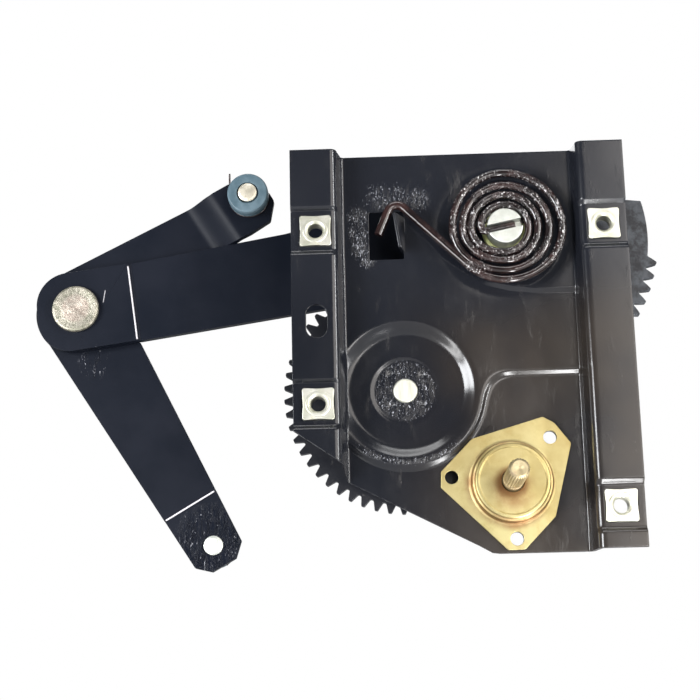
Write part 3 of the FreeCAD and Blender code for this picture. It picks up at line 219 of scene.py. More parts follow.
def arm_paint():
    """Satin blue-black paint of the flat levers, with painted highlights as pale lines along two creases
    and a fainter third, and greased at the lower tip."""
    n = Nodes("arm_paint")
    n.set(Metallic=0.0, IOR=1.5, Specular_IOR_Level=0.12)
    cloud = n.ramp(n.noise(24, 4, 0.6), 0.35, 0.7)
    fine = n.noise(1600, 3, 0.6)
    scratch = n.ramp(n.noise(300, 5, 0.7, (1, 1, 0.06, 0, 0.3, 0)), 0.66, 0.74)
    tip = n.near((-133.5, -19), 11, 18)
    below_hub = n.near((-187, 62.5), 4, 9)
    marks = n.times(tip, n.most(strokes(n, 620, 0.52, 0.66, -0.5),
                                n.times(strokes(n, 900, 0.5, 0.7, 0.9), 0.6)))
    under = n.times(below_hub, strokes(n, 800, 0.56, 0.64, -0.7))
    # painted highlights: pale lines along the creases where the bends catch the light, put in the base
    # colour
    wear_and_painted_highlight = n.most(n.line((-171.4, 107.3), (-166.6, 71.9), 0.62),
                  n.line((-154.2, -10.6), (-131.9, 2.4), 0.62))
    wear_and_painted_highlight = n.most(wear_and_painted_highlight, n.times(n.line((-181.6, 96.0), (-182.6, 89.6), 0.4), 0.5))
    base = n.mix(cloud, (0.0030, 0.0045, 0.0088), (0.0048, 0.0063, 0.0115))
    base = n.mix(n.times(wear_and_painted_highlight, 0.9), base, (0.62, 0.60, 0.63))
    rough = n.minus(n.plus(n.times(cloud, 0.10), 0.42), n.times(scratch, 0.08))
    rough = n.minus(rough, n.times(tip, 0.16))
    flecks = n.ramp(n.noise(1000, 4, 0.66, (1, 1, 0.35, 0, -0.5, 0), 1.0), 0.62, 0.69)
    flecks = n.times(n.most(tip, below_hub), flecks)
    base = n.mix(n.times(flecks, 0.6), base, (0.45, 0.46, 0.50))
    return n.finished(base, rough, (fine, 0.010), (scratch, 0.01), (marks, 0.40), (under, 0.2),
                      (wear_and_painted_highlight, 0.08))


def metal(name, low, high, rough, grain=220, stretch=None, dirt=None, bump=0.02):
    """Bare or plated metal: a cloudy colour between low and high, a fine grain and dark residue."""
    n = Nodes(name)
    n.set(Metallic=1.0)
    cloud = n.ramp(n.noise(grain * 0.4, 5, 0.6, stretch), 0.32, 0.68)
    speck = n.noise(grain * 6, 4, 0.65, stretch)
    colour = n.mix(cloud, low, high)
    if dirt:
        residue_and_painted_shade = n.ramp(n.noise(grain * 0.8, 6, 0.7), 0.52, 0.72)
        colour = n.mix(n.times(residue_and_painted_shade, 0.8), colour, dirt)
        n.link(n.minus(1.0, n.times(residue_and_painted_shade, 0.7)), "Metallic")
    rough = n.plus(n.times(speck, 0.22), rough - 0.11)
    return n.finished(colour, rough, (speck, bump), (cloud, bump))


def yellow_zinc():
    """Yellow passivated zinc on drawn sheet: even satin, brown stain round the shaft, painted shade
    at the dome's foot and round the spindle's base, faint draw lines and a green and pink cast in places."""
    n = Nodes("yellow_zinc")
    n.set(Metallic=1.0)
    cloud = n.ramp(n.noise(42, 4, 0.6), 0.35, 0.65)
    colour = n.mix(cloud, (0.44, 0.355, 0.155), (0.545, 0.47, 0.235))
    cast = n.ramp(n.noise(30, 3, 0.5, (1, 1, 1.3, 0.4, 0.9, 0.2)), 0.55, 0.75)
    colour = n.mix(n.times(cast, 0.5), colour, (0.54, 0.57, 0.30))
    shaft = n.near((-0.6, -3.6), 3.4, 12.5)
    # the foot mask paints shade round the dome's foot, heavier to the lower left and broken up by noise
    foot = n.times(n.near((-1.2, -1.2), 17.6, 20.6), n.minus(1.0, n.near(CRANK, 15.8, 16.6)))
    stain_and_painted_shade = n.most(n.times(shaft, n.ramp(n.noise(110, 4, 0.6), 0.22, 0.62)),
                   n.times(foot, n.ramp(n.noise(60, 4, 0.6), 0.30, 0.70)))
    mottle = n.ramp(n.noise(130, 5, 0.68), 0.46, 0.66)
    colour = n.mix(n.times(mottle, 0.35), colour, (0.36, 0.27, 0.09))
    colour = n.mix(n.times(stain_and_painted_shade, 0.75), colour, (0.22, 0.10, 0.05))
    # painted shade mixed with brown stain in a ring round the spindle's base, and painted shade in the
    # groove at the dome's foot
    collar = n.near((-0.6, -1.0), 5.0, 8.6)
    groove = n.times(n.near(CRANK, 17.9, 18.5), n.minus(1.0, n.near(CRANK, 17.0, 17.5)))
    residue_and_painted_shade = n.most(n.times(collar, 0.85), n.times(groove, 0.6))
    colour = n.mix(residue_and_painted_shade, colour, (0.15, 0.070, 0.030))
    speck = n.noise(1300, 4, 0.6)
    drawn = n.noise(260, 4, 0.55, (1, 1, 0.16))
    rough = n.plus(n.plus(n.times(speck, 0.16), 0.34), n.times(stain_and_painted_shade, 0.12))
    return n.finished(colour, rough, (speck, 0.018), (drawn, 0.035), (cloud, 0.05))


def gear_paint(name, wear):
    """Blue-black oiled steel of the toothed parts, rubbed grey in clouds by the share of wear."""
    n = Nodes(name)
    n.set(IOR=1.5, Specular_IOR_Level=0.35)
    cloud = n.ramp(n.noise(90, 5, 0.6), 0.35, 0.7)
    rubbed = n.ramp(n.noise(420, 6, 0.72), 0.60, 0.72)
    wear_and_painted_highlight = n.times(n.ramp(n.noise(140, 6, 0.72), 0.40, 0.62), wear)
    n.link(n.times(rubbed, 0.5), "Metallic")
    base = n.mix(cloud, (0.0060, 0.0068, 0.0100), (0.0110, 0.0115, 0.0150))
    base = n.mix(wear_and_painted_highlight, base, (0.105, 0.118, 0.135))
    base = n.mix(n.times(rubbed, 0.4), base, (0.07, 0.065, 0.06))
    speck = n.noise(1500, 4, 0.6)
    return n.finished(base, n.plus(n.times(speck, 0.2), 0.28), (speck, 0.015), (rubbed, 0.04))


def elbow_zinc():
    """Greyish zinc on a pressed head: turning rings, pinkish middle and a darker outer band."""
    n = Nodes("elbow_zinc")
    n.set(Metallic=0.85)
    middle = n.near(ELBOW, 5.4, 7.4)
    rings = n.rings(ELBOW, 900)
    cloud = n.ramp(n.noise(330, 5, 0.7), 0.36, 0.64)
    colour = n.mix(middle, (0.22, 0.215, 0.165), (0.30, 0.245, 0.205))
    colour = n.mix(n.times(cloud, 0.75), colour, (0.42, 0.385, 0.325))
    speck = n.noise(1500, 4, 0.6)
    rough = n.plus(n.times(speck, 0.2), 0.34)
    return n.finished(colour, rough, (rings, 0.03), (speck, 0.02), (cloud, 0.06))


def spring_steel():
    """Dark brown oiled spring wire with a wet shine, small clots of grease and painted highlights as
    bright specks.
    """
    n = Nodes("spring_steel")
    n.set(Metallic=0.0, IOR=1.5, Coat_Weight=0.5, Coat_Roughness=0.05)
    streak = n.ramp(n.noise(130, 4, 0.6), 0.38, 0.66)
    clots = n.ramp(n.noise(640, 6, 0.72), 0.50, 0.66)
    zone = n.times(n.ramp(n.noise(55, 2, 0.5), 0.38, 0.55), n.ramp(n.axis("X"), -0.029, -0.019))
    clots = n.times(clots, zone)
    # painted highlights: bright specks on the inner coils, away from the straight leg, put in the base
    # colour
    painted_glints = n.times(zone, n.ramp(n.noise(1000, 4, 0.7, (1, 1, 0.6, 0, 0.5, 0)), 0.58, 0.66))
    base = n.mix(streak, (0.0070, 0.0040, 0.0040), (0.0240, 0.0105, 0.0095))
    base = n.mix(n.times(painted_glints, 0.9), base, (0.80, 0.78, 0.78))
    return n.finished(base, n.plus(n.times(streak, 0.10), 0.13), (clots, 0.26), (streak, 0.03))


def nylon():
    """Blue-grey moulded nylon with a slight sheen and handling marks."""
    n = Nodes("nylon")
    n.set(Metallic=0.0, IOR=1.53)
    cloud = n.ramp(n.noise(120, 4, 0.6), 0.35, 0.65)
    fine = n.noise(2200, 2, 0.5)
    colour = n.mix(cloud, (0.058, 0.098, 0.122), (0.090, 0.140, 0.170))
    return n.finished(colour, n.plus(n.times(cloud, 0.14), 0.36), (fine, 0.008), (cloud, 0.03))


PLATE = plate_paint()
ARM = arm_paint()
YELLOW_ZINC = yellow_zinc()
PALE_ZINC = metal("pale_zinc", (0.57, 0.57, 0.46), (0.74, 0.73, 0.67), 0.44, 300,
                  dirt=(0.40, 0.38, 0.26))
RIVET_ZINC = metal("rivet_zinc", (0.36, 0.35, 0.33), (0.62, 0.60, 0.56), 0.40, 320,
                   dirt=(0.06, 0.055, 0.05), bump=0.05)
TURNED = metal("turned_steel", (0.30, 0.27, 0.23), (0.52, 0.48, 0.42), 0.34, 260,
               dirt=(0.05, 0.04, 0.03))
GEAR = gear_paint("gear_paint", 0.0)
SECTOR = gear_paint("sector_paint", 0.45)
BRONZE = metal("bronze", (0.42, 0.26, 0.12), (0.60, 0.40, 0.20), 0.38, 300)
SPRING = spring_steel()
NYLON = nylon()
SPINDLE = metal("spindle_zinc", (0.31, 0.245, 0.135), (0.52, 0.44, 0.27), 0.56, 320,
                dirt=(0.21, 0.115, 0.07))
STUD = metal("stud_zinc", (0.50, 0.52, 0.475), (0.65, 0.67, 0.63), 0.50, 300, bump=0.06)
IDLER_PIN = metal("idler_pin_zinc", (0.54, 0.54, 0.46), (0.66, 0.66, 0.59), 0.50, 240,
                  (6, 1, 0.8), bump=0.04)
COLLAR = metal("collar_zinc", (0.66, 0.68, 0.30), (0.84, 0.85, 0.52), 0.42, 240)
PIN = metal("pin_zinc", (0.56, 0.52, 0.42), (0.82, 0.77, 0.65), 0.50, 420,
            dirt=(0.26, 0.20, 0.13), bump=0.04)
ELBOW_ZINC = elbow_zinc()

FINISHES = {
    "plate": PLATE, "arm_paint": ARM, "nuts": PALE_ZINC, "housing": YELLOW_ZINC, "drum": TURNED,
    "spring_steel": SPRING, "turned_steel": TURNED, "gear_steel": GEAR, "bronze": BRONZE,
    "rivet_zinc": RIVET_ZINC, "roller_plastic": NYLON,
}
SLOT_OF = {part["node"]: part["material_slot"] for part in frame["record"]["subparts"]}
BODIES = frame["record"]["behaviour"]["bodies"]


for node_name, cad_node in frame["nodes"].items():
    cad_node.data.materials.clear()
    cad_node.data.materials.append(FINISHES[SLOT_OF[node_name]])


# ---- mesh helpers


def ramp(value, low, high):
    """0 below low, 1 above high, and smooth between."""
    t = min(max((value - low) / (high - low), 0.0), 1.0)
    return t * t * (3 - 2 * t)


def placed(name, data):
    """New object in the scene."""
    thing = bpy.data.objects.new(name, data)
    bpy.context.collection.objects.link(thing)
    return thing


def new_piece(name, mesh, finish, body, *replaced, slot=None, sharp=38):
    """Object of a mesh in millimetres, riding on a body and standing for CAD nodes."""
    mesh.transform(Matrix.Scale(MM, 4))
    for face in mesh.polygons:
        face.use_smooth = True
    mesh.set_sharp_from_angle(angle=math.radians(sharp))
    mesh.materials.clear()
    mesh.materials.append(finish)
    piece = placed(name, mesh)
    even = piece.modifiers.new("even", "WEIGHTED_NORMAL")
    even.weight = 100
    even.keep_sharp = True
    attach(piece, body)
    if replaced:
        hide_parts(*replaced)
        slot = slot or SLOT_OF[replaced[0]]


def mesh_of(bm, name):
    """Mesh of a bmesh, with its normals outwards; the bmesh is freed."""
    mesh = bpy.data.meshes.new(name)
    bmesh.ops.recalc_face_normals(bm, faces=bm.faces)
    bm.to_mesh(mesh)
    bm.free()
    return mesh


def prism(bm, outline, near, far):
    """Closed prism of an (x, z) outline between two depths."""
    front = [bm.verts.new((x, near, z)) for x, z in outline]
    back = [bm.verts.new((x, far, z)) for x, z in outline]
    bm.faces.new(front)
    bm.faces.new(back[::-1])
    for i, vertex in enumerate(front):
        j = (i + 1) % len(front)
        bm.faces.new((vertex, back[i], back[j], front[j]))


def prisms(name, *shapes):
    """Mesh of closed prisms, each from (outline, near, far)."""
    bm = bmesh.new()
    for outline, near, far in shapes:
        prism(bm, outline, near, far)
    return mesh_of(bm, name)


def skin(bm, rings, capped=False):
    """Faces between each ring of vertices and the next, and over both ends where capped; a vertex
    that repeats is left out."""
    if capped:
        bm.faces.new(rings[0][::-1])
        bm.faces.new(rings[-1])
    for a, b in zip(rings, rings[1:]):
        for i in range(len(a)):
            j = (i + 1) % len(a)
            face = list(dict.fromkeys((a[i], a[j], b[j], b[i])))
            if len(face) > 2:
                bm.faces.new(face)


def swung(place, a, u, v=0.0):
    """(x, z) at u along and v across a line through place that is turned by a radians."""
    return (place[0] + u * math.cos(a) - v * math.sin(a), place[1] + u * math.sin(a) + v * math.cos(a))


def circle(x, z, radius, count=64):
    """Outline of a round hole or disc."""
    return [swung((x, z), 2 * math.pi * i / count, radius) for i in range(count)]


def rounded(corners, radii, count=6):
    """Outline with each corner rounded by its radius."""
    if isinstance(radii, (int, float)):
        radii = [radii] * len(corners)
    points = []
    for i, (corner, radius) in enumerate(zip(corners, radii)):
        here = Vector(corner)
        back = (Vector(corners[i - 1]) - here).normalized()
        ahead = (Vector(corners[(i + 1) % len(corners)]) - here).normalized()
        half = back.angle(ahead) / 2
        setback = radius / math.tan(half)
        centre = here + (back + ahead).normalized() * (radius / math.sin(half))
        first = here + back * setback - centre
        turn = (math.pi - 2 * half) * (1 if back.cross(ahead) < 0 else -1)
        points += [swung(centre, turn * k / count, *first) for k in range(count + 1)]
    return points


def subtracted(base, tool, operation="DIFFERENCE"):
    """Mesh of base cut by tool, or of another boolean operation on the two."""
    first, second = placed("cut_base", base), placed("cut_tool", tool)
    modifier = first.modifiers.new("cut", "BOOLEAN")
    modifier.operation = operation
    modifier.solver = "MANIFOLD"
    modifier.object = second
    graph = bpy.context.evaluated_depsgraph_get()
    result = bpy.data.meshes.new_from_object(first.evaluated_get(graph))
    for thing in (first, second):
        bpy.data.objects.remove(thing)
    return result


def bevel_edges(bm, width, segments, angle):
    """Rounds every edge that turns by more than angle."""
    edges = [e for e in bm.edges if len(e.link_faces) == 2
             and e.calc_face_angle(0.0) > math.radians(angle)]
    bmesh.ops.bevel(bm, geom=edges, offset=width, segments=segments, profile=0.5,
                    affect="EDGES", clamp_overlap=False)


def bevel_sharp(mesh, width, segments=2, angle=50):
    """The mesh itself, with its sharp edges rounded."""
    bm = bmesh.new()
    bm.from_mesh(mesh)
    bevel_edges(bm, width, segments, angle)
    bm.to_mesh(mesh)
    bm.free()
    return mesh


def softened(name, width, finish=None, segments=2):
    """Copy of a CAD node with its flat faces cleaned and its edges rounded, in the node's place."""
    bm = bmesh.new()
    bm.from_mesh(frame["nodes"][name].data)
    bm.transform(Matrix.Scale(1 / MM, 4))
    bmesh.ops.remove_doubles(bm, verts=bm.verts, dist=0.002)
    bmesh.ops.dissolve_limit(bm, angle_limit=math.radians(1.0), verts=bm.verts, edges=bm.edges)
    bevel_edges(bm, width, segments, 30)
    mesh = mesh_of(bm, name + "_soft")
    body = next(b for b, nodes in BODIES.items() if name in nodes)
    new_piece(name + "_soft", mesh, finish or FINISHES[SLOT_OF[name]], body, name, sharp=32)


def turned(name, corners, radii, place, count=96):
    """Solid of revolution round the depth axis through place, from (radius, depth) corners that
    are rounded by radii."""
    apart, axis_reach = 0.004, 0.002
    profile = []
    for r, y in rounded(corners, radii, 4):
        if not profile or math.hypot(r - profile[-1][0], y - profile[-1][1]) > apart:
            profile.append((r, y))
    bm = bmesh.new()
    rings = []
    for r, y in profile:
        if r < axis_reach:
            rings.append([bm.verts.new((place[0], y, place[1]))] * count)
        else:
            rings.append([bm.verts.new((x, y, z)) for x, z in circle(*place, r, count)])
    skin(bm, rings + rings[:1])
    return mesh_of(bm, name)


def joined(*meshes):
    """One mesh of several, side by side."""
    bm = bmesh.new()
    for mesh in meshes:
        bm.from_mesh(mesh)
    result = bpy.data.meshes.new(meshes[0].name)
    bm.to_mesh(result)
    bm.free()
    return result


def displaced(mesh, height):
    """Moves each vertex along its normal by height(point) in mm."""
    bm = bmesh.new()
    bm.from_mesh(mesh)
    bm.normal_update()
    moves = [(v, v.normal * height(v.co)) for v in bm.verts]
    for vertex, move in moves:
        vertex.co += move
    bm.to_mesh(mesh)
    bm.free()
    return mesh


def tube(bm, path, radius, sides=16, wobble=None):
    """Round wire along a path; radius may be a function of the share of the path, and wobble adds
    to it at a point."""
    normal = Vector((0, 1, 0))
    total = len(path) - 1
    rings = []
    for i, point in enumerate(path):
        along = (path[min(i + 1, total)] - path[max(i - 1, 0)]).normalized()
        side = along.cross(normal).normalized()
        up = side.cross(along).normalized()
        size = radius(i / total) if callable(radius) else radius
        ring = []
        for k in range(sides):
            a = 2 * math.pi * k / sides
            out = side * math.cos(a) + up * math.sin(a)
            extra = wobble(point + out * size) if wobble else 0.0
            ring.append(bm.verts.new(point + out * (size + extra)))
        rings.append(ring)
    skin(bm, rings, True)


# ---- base plate

RAIL_LEFT, RAIL_RIGHT = -94.0, 55.0
PLATE_LOW, PLATE_HIGH = -30.5, 151.0
PANEL_DEPTH = 12.0
SCREW_RADIUS = 2.95


def sheet_profile():
    """Section across the rails and the panel: (x, y, normal x, normal y) along the sheet's middle,
    with the normal to the front."""
    bend, middle, half_turn, to_middle = 2.2, 1.0, 7, 0.85
    panel = PANEL_DEPTH + middle
    left, right = math.radians(79.0), math.radians(80.5)
    set_left, set_right = bend * math.tan(left / 2), bend * math.tan(right / 2)
    top_left, top_right = -73.5 - to_middle, 34.5 + to_middle
    low_left = top_left + PANEL_DEPTH / math.tan(left)
    low_right = top_right - PANEL_DEPTH / math.tan(right)

    def flat(start, end, depth, step):
        count = max(1, round(abs(end - start) / step))
        return [(start + (end - start) * i / count, depth, 0.0, -1.0) for i in range(count)]

    def bent(turn, opens, x, at_panel, side):
        """One bend; its angle opens from flat or closes to it, and its normal leans to a side."""
        angles = [turn * i / half_turn for i in range(half_turn + 1)]
        ahead, inwards = (1 if opens else -1), (-1 if at_panel else 1)
        depth = panel if at_panel else middle
        return [(x + ahead * bend * math.sin(a), depth + inwards * bend * (1 - math.cos(a)),
                 side * math.sin(a), -math.cos(a)) for a in (angles if opens else angles[::-1])]

    return (flat(RAIL_LEFT, top_left - set_left, middle, 1.0)
            + bent(left, True, top_left - set_left, False, 1)
            + bent(left, False, low_left + set_left, True, 1)
            + flat(low_left + set_left, low_right - set_right, panel, 0.85)[1:]
            + bent(right, True, low_right - set_right, True, -1)
            + bent(right, False, top_right + set_right, False, -1)
            + flat(top_right + set_right, RAIL_RIGHT, middle, 1.0)[1:]
            + [(RAIL_RIGHT, middle, 0.0, -1.0)])


def soft_min(a, b, width):
    """The lesser of two numbers, rounded off where they are within width of each other."""
    h = max(width - abs(a - b), 0.0) / width
    return min(a, b) - h * h * width / 4


def middle_edge(x):
    """Height of the step under the spring's zone."""
    points = ((-80, 98.4), (-40, 97.0), (-26, 94.8), (-8, 89.6), (6, 86.6), (14, 85.6), (60, 85.2))
    for (x0, z0), (x1, z1) in zip(points, points[1:]):
        if x <= x1:
            return z0 + (z1 - z0) * ramp(x, x0, x1) * 0.4 + (z1 - z0) * (x - x0) / (x1 - x0) * 0.6
    return points[-1][1]


# (x, z, depth) of the four small marks pricked round the idler pin
PRICKS = ((-51.4, 50.2, 0.7), (-37.1, 49.4, 0.9), (-51.0, 36.0, 0.8), (-37.5, 36.0, 1.2))


def panel_depth(x, z, pricked):
    """Depth of the panel below its upper zone: a step that fades to the left, the lower zone, the
    idler's dish with its disc, the four marks where pricked is true, and the spring's shallow dish."""
    faint = 1 - ramp(x, -30.0, 8.0)
    ease = 1.3 + 3.4 * faint
    depth = (1.2 - 0.65 * faint) * ramp(middle_edge(x) - z, -ease, ease)
    from_idler = math.hypot(x - IDLER[0], z - IDLER[1])
    depth += 1.8 * ramp(soft_min(49.0 - z, from_idler - 34.6, 14.0), -0.9, 1.7)
    depth += 3.2 * (1 - ramp(from_idler, 24.6, 31.8)) + 0.35 * (1 - ramp(from_idler, 15.5, 25.0))
    depth += 0.5 * (1 - ramp(from_idler, 14.0, 15.2))
    for px, pz, deep in PRICKS:
        depth += pricked * deep * (1 - ramp(math.hypot(x - px, z - pz), 0.5, 1.5))
    from_pivot = math.hypot(x - PIVOT[0], z - PIVOT[1])
    return depth + 0.25 * (1 - ramp(from_pivot, 27.6, 33.4))


def pad_depth(x, z):
    """Depth of the recesses round the nuts on the rails."""
    spans = ((102.9, 123.1), (24.4, 44.8)) if x < 0 else ((102.3, 122.7), (-22.8, -2.4))
    deep, bottom, top = 2.0, 1.3, 0.7 if x < 0 else 0.95
    return deep * sum(ramp(z, low - bottom, low + bottom) * (1 - ramp(z, high - top, high + top))
                      for low, high in spans)


def plate_sheet():
    """The whole formed sheet, before its outline and its holes are cut."""
    half_sheet, count = 1.0, 236
    profile = sheet_profile()
    rows = [PLATE_LOW + (PLATE_HIGH - PLATE_LOW) * i / count for i in range(count + 1)]
    bm = bmesh.new()
    sides = []
    for side in (half_sheet, -half_sheet):
        grid = []
        for x, y, nx, ny in profile:
            share = (y - half_sheet) / PANEL_DEPTH
            px, py = x + side * nx, y + side * ny
            column = []
            for z in rows:
                sunk = share * panel_depth(px, z, side > 0) + (1 - share) * pad_depth(px, z)
                column.append(bm.verts.new((px, py + sunk, z)))
            grid.append(column)
        sides.append(grid)
    front, back = sides
    for grid in (front, back):
        for a, b in zip(grid, grid[1:]):
            for j in range(len(rows) - 1):
                bm.faces.new((a[j], b[j], b[j + 1], a[j + 1]))
    for i in (0, len(profile) - 1):
        for j in range(len(rows) - 1):
            bm.faces.new((front[i][j], front[i][j + 1], back[i][j + 1], back[i][j]))
    for j in (0, len(rows) - 1):
        for i in range(len(profile) - 1):
            bm.faces.new((front[i][j], front[i + 1][j], back[i + 1][j], back[i][j]))
    return mesh_of(bm, "plate_sheet")


def rectangle(x, z, half_width, half_height, radius, count=6):
    """Outline of a rectangle round (x, z), with rounded corners."""
    corners = [(x - half_width, z - half_height), (x + half_width, z - half_height),
               (x + half_width, z + half_height), (x - half_width, z + half_height)]
    return rounded(corners, radius, count)


def plate_cutters():
    """Everything outside the plate's outline, and its holes."""
    outside = [(-120, -60), (-6.5, -60), (-6.5, -30.5), (-9.5, -30.1), (-15, -27), (-71.4, 2),
               (-72.2, 5), (-72.6, 8.0), (-94.0, 22.8), (-120, 22.8)]
    outlines = [outside]
    outlines += [rectangle(x, z, 7, 7, 1.2) for x, z in NUT_PLACES]
    outlines.append(rectangle(-83.0, 71.2, 4.65, 7.45, 4.5, 10))
    outlines.append(rectangle(-51.5, 113.0, 7.7, 11.2, 0.8))
    outlines += [circle(*IDLER, 5.4), circle(*PIVOT, 9.9), circle(*CRANK, 15.6)]
    outlines += [circle(x, z, SCREW_RADIUS) for x, z in SCREW_HOLES]
    return prisms("plate_cutters", *((outline, -5.0, 30.0) for outline in outlines))


def bent_tab():
    """Tab that is lanced out of the window, stands up from its right edge and leans more at the top."""
    path = [(-42.6, 13.0), (-43.1, 12.95), (-43.6, 12.6), (-44.0, 11.9), (-44.3, 10.8), (-45.6, 4.0),
            (-45.75, 3.1)]
    bm = bmesh.new()
    rings = []
    for i, (x, y) in enumerate(path):
        before, after = path[max(i - 1, 0)], path[min(i + 1, len(path) - 1)]
        along = Vector((after[0] - before[0], after[1] - before[1])).normalized()
        side = Vector((-along.y, along.x))
        inset = 0.9 if i == len(path) - 1 else 0.0
        thin = 0.6 if i == len(path) - 1 else 0.85
        lean = 2.1 * ramp(13.0 - y, 0.5, 10.0)
        low, high = 105.0 + inset, 121.3 - inset
        corners = [(thin, low, 0.0), (thin, high, lean), (-thin, high, lean), (-thin, low, 0.0)]
        rings.append([bm.verts.new((x + side.x * t - push, y + side.y * t, z)) for t, z, push in corners])
    skin(bm, rings, True)
    return mesh_of(bm, "bent_tab")


def add_plate():
    """The cut sheet, the small lug above the housing and the tab that holds the spring."""
    sheet = bevel_sharp(subtracted(plate_sheet(), plate_cutters()), 0.22)
    new_piece("plate_skin", sheet, PLATE, "base", "base_plate", sharp=40)
    lug = rounded([(-11.6, 21.4), (-7, 22.8), (-6.8, 24.9), (-8.4, 25.6)], 0.3)
    new_piece("plate_lug", bevel_sharp(prisms("plate_lug", (lug, 13.4, 15.4)), 0.2), PLATE, "base",
              slot="plate")
    new_piece("plate_tab", bevel_sharp(bent_tab(), 0.32), PLATE, "base", slot="plate")


# ---- nuts, housing and crank


def nut_mesh(x, z):
    """Square weld nut: sides a little hollow, raised round collar, countersunk bore."""
    outline = []
    for side in range(4):
        for i in range(16):
            t = -1 + 2 * (i + 0.5) / 16
            reach = 7.0 - 0.34 * (1 - t * t) ** 3
            outline.append(swung((x, z), side * math.pi / 2, t * 6.75, -reach))
    body = subtracted(prisms("nut_body", (outline, 0.85, 8.5)),
                      prisms("nut_drill", (circle(x, z, 4.9, 48), -1, 12)))
    collar = turned("nut_collar", [(3.33, 1.6), (4.35, 0.5), (5.35, 0.5), (5.75, 0.92), (6.1, 0.92),
                                   (6.1, 3.0), (5.0, 3.0), (5.0, 8.4), (3.33, 8.4)],
                    [0.3, 0.35, 0.3, 0.12, 0.1, 0, 0, 0.1, 0.2], (x, z), 72)
    return joined(bevel_sharp(body, 0.28, 3), collar)


def add_nuts():
    """The four weld nuts as one piece."""
    meshes = [nut_mesh(x, z) for x, z in NUT_PLACES]
    new_piece("weld_nuts_formed", joined(*meshes), PALE_ZINC, "base", "weld_nuts", sharp=50)


def add_housing():
    """Flange and drawn dome; the foot of the dome runs out into the flange."""
    corners = [(14.7, 28.5), (19.6, 25.7), (26.5, 16.5), (18.1, -15.3), (4.5, -29), (-3, -29.2),
               (-30.9, -1.6), (-30.6, 5.5), (-16.7, 19.5)]
    outline = rounded(corners, [1.6, 5, 1.6, 1.6, 1.6, 1.6, 1.6, 1.6, 3], 5)
    holes = [circle(*CRANK, 16.6, 96)] + [circle(x, z, SCREW_RADIUS, 40) for x, z in SCREW_HOLES]
    flange = subtracted(prisms("flange", (outline, 13.4, 15.0)),
                        prisms("flange_holes", *((hole, 10, 20) for hole in holes)))
    bevel_sharp(flange, 0.22, 2)
    dome = turned("dome", [
        (4.9, 9.2), (4.9, 7.8), (14.3, 7.7), (14.9, 7.4), (15.9, 7.5), (16.25, 8.1), (16.4, 9.3),
        (17.25, 9.7), (17.55, 10.4), (17.7, 13.0), (18.9, 13.38), (18.9, 13.7), (16.2, 13.7),
        (15.0, 9.2),
    ], [0.2, 0.35, 0.6, 0.3, 0.3, 0.3, 0.35, 0.3, 0.4, 0.6, 0.05, 0, 0, 0.5], CRANK, 160)
    new_piece("crank_housing_drawn", joined(flange, dome), YELLOW_ZINC, "base", "crank_housing",
              sharp=50)


def add_spindle():
    """Serrated shaft with a chamfered tip and a centre mark."""
    teeth, top, root = 24, 4.5, 4.02
    levels = [(-28.0, 0.70), (-27.7, 0.78), (-26.4, 0.965), (-26.0, 1.0), (2.0, 1.0), (3.0, 0.96)]
    angles = [2 * math.pi * i / (teeth * 4) for i in range(teeth * 4)]
    bm = bmesh.new()
    rings = []
    for y, share in levels:
        ring = []
        for i, a in enumerate(angles):
            wave = (0.0, 0.55, 1.0, 0.55)[i % 4]
            r = min(root + (top - root) * wave, top * share)
            ring.append(bm.verts.new((r * math.cos(a), y, r * math.sin(a))))
        rings.append(ring)
    skin(bm, rings)
    mark = [bm.verts.new((math.cos(a), -27.9, math.sin(a))) for a in angles]
    deep = bm.verts.new((0, -27.0, 0))
    for i in range(len(angles)):
        j = (i + 1) % len(angles)
        bm.faces.new((rings[0][i], mark[i], mark[j], rings[0][j]))
        bm.faces.new((mark[i], deep, mark[j]))
    bm.faces.new(rings[-1])
    serrated = mesh_of(bm, "serrated")
    shaft = turned("shaft", [(0, 2.9), (4.45, 2.9), (4.45, 9.6), (12.2, 9.6), (12.2, 11.0),
                             (4.0, 11.0), (4.0, 26.8), (0, 26.8)], [0, 0.2, 0.1, 0.3, 0.3, 0.1, 0.5, 0],
                   CRANK)
    new_piece("crank_spindle_turned", joined(serrated, shaft), SPINDLE, "crank", "crank_spindle",
              sharp=40)


# ---- spring and pivot

SPRING_DEPTH = 6.0
WIRE_RADIUS = 1.72
STUD_SLOT = 11.5  # degrees
# reach of the spiral's wire from the pivot at each quarter turn, from its lowest point on
SPRING_REACHES = [24.1, 25.6, 25.5, 23.3, 19.9, 19.8, 19.7, 18.7, 15.3, 14.8, 15.1, 15.0, 11.4, 10.6]


def arc(centre, radius, first, last, step=0.55):
    """Points about step apart on an arc round the depth axis through centre."""
    count = max(2, round(abs(last - first) * radius / step))
    return [Vector((centre[0] + radius * math.cos(first + (last - first) * i / count), centre[1],
                    centre[2] + radius * math.sin(first + (last - first) * i / count)))
            for i in range(count + 1)]


def spring_point(quarters):
    """Place on the spring's flat spiral, this many quarter turns after its lowest point."""
    index = min(max(int(quarters), 0), len(SPRING_REACHES) - 2)
    reach = SPRING_REACHES[index]
    share = (1 - math.cos(math.pi * max(quarters - index, 0.0))) / 2
    reach += (SPRING_REACHES[index + 1] - reach) * share
    angle = (3 + quarters) * math.pi / 2
    return Vector((PIVOT[0] + reach * math.cos(angle), SPRING_DEPTH, PIVOT[1] + reach * math.sin(angle)))


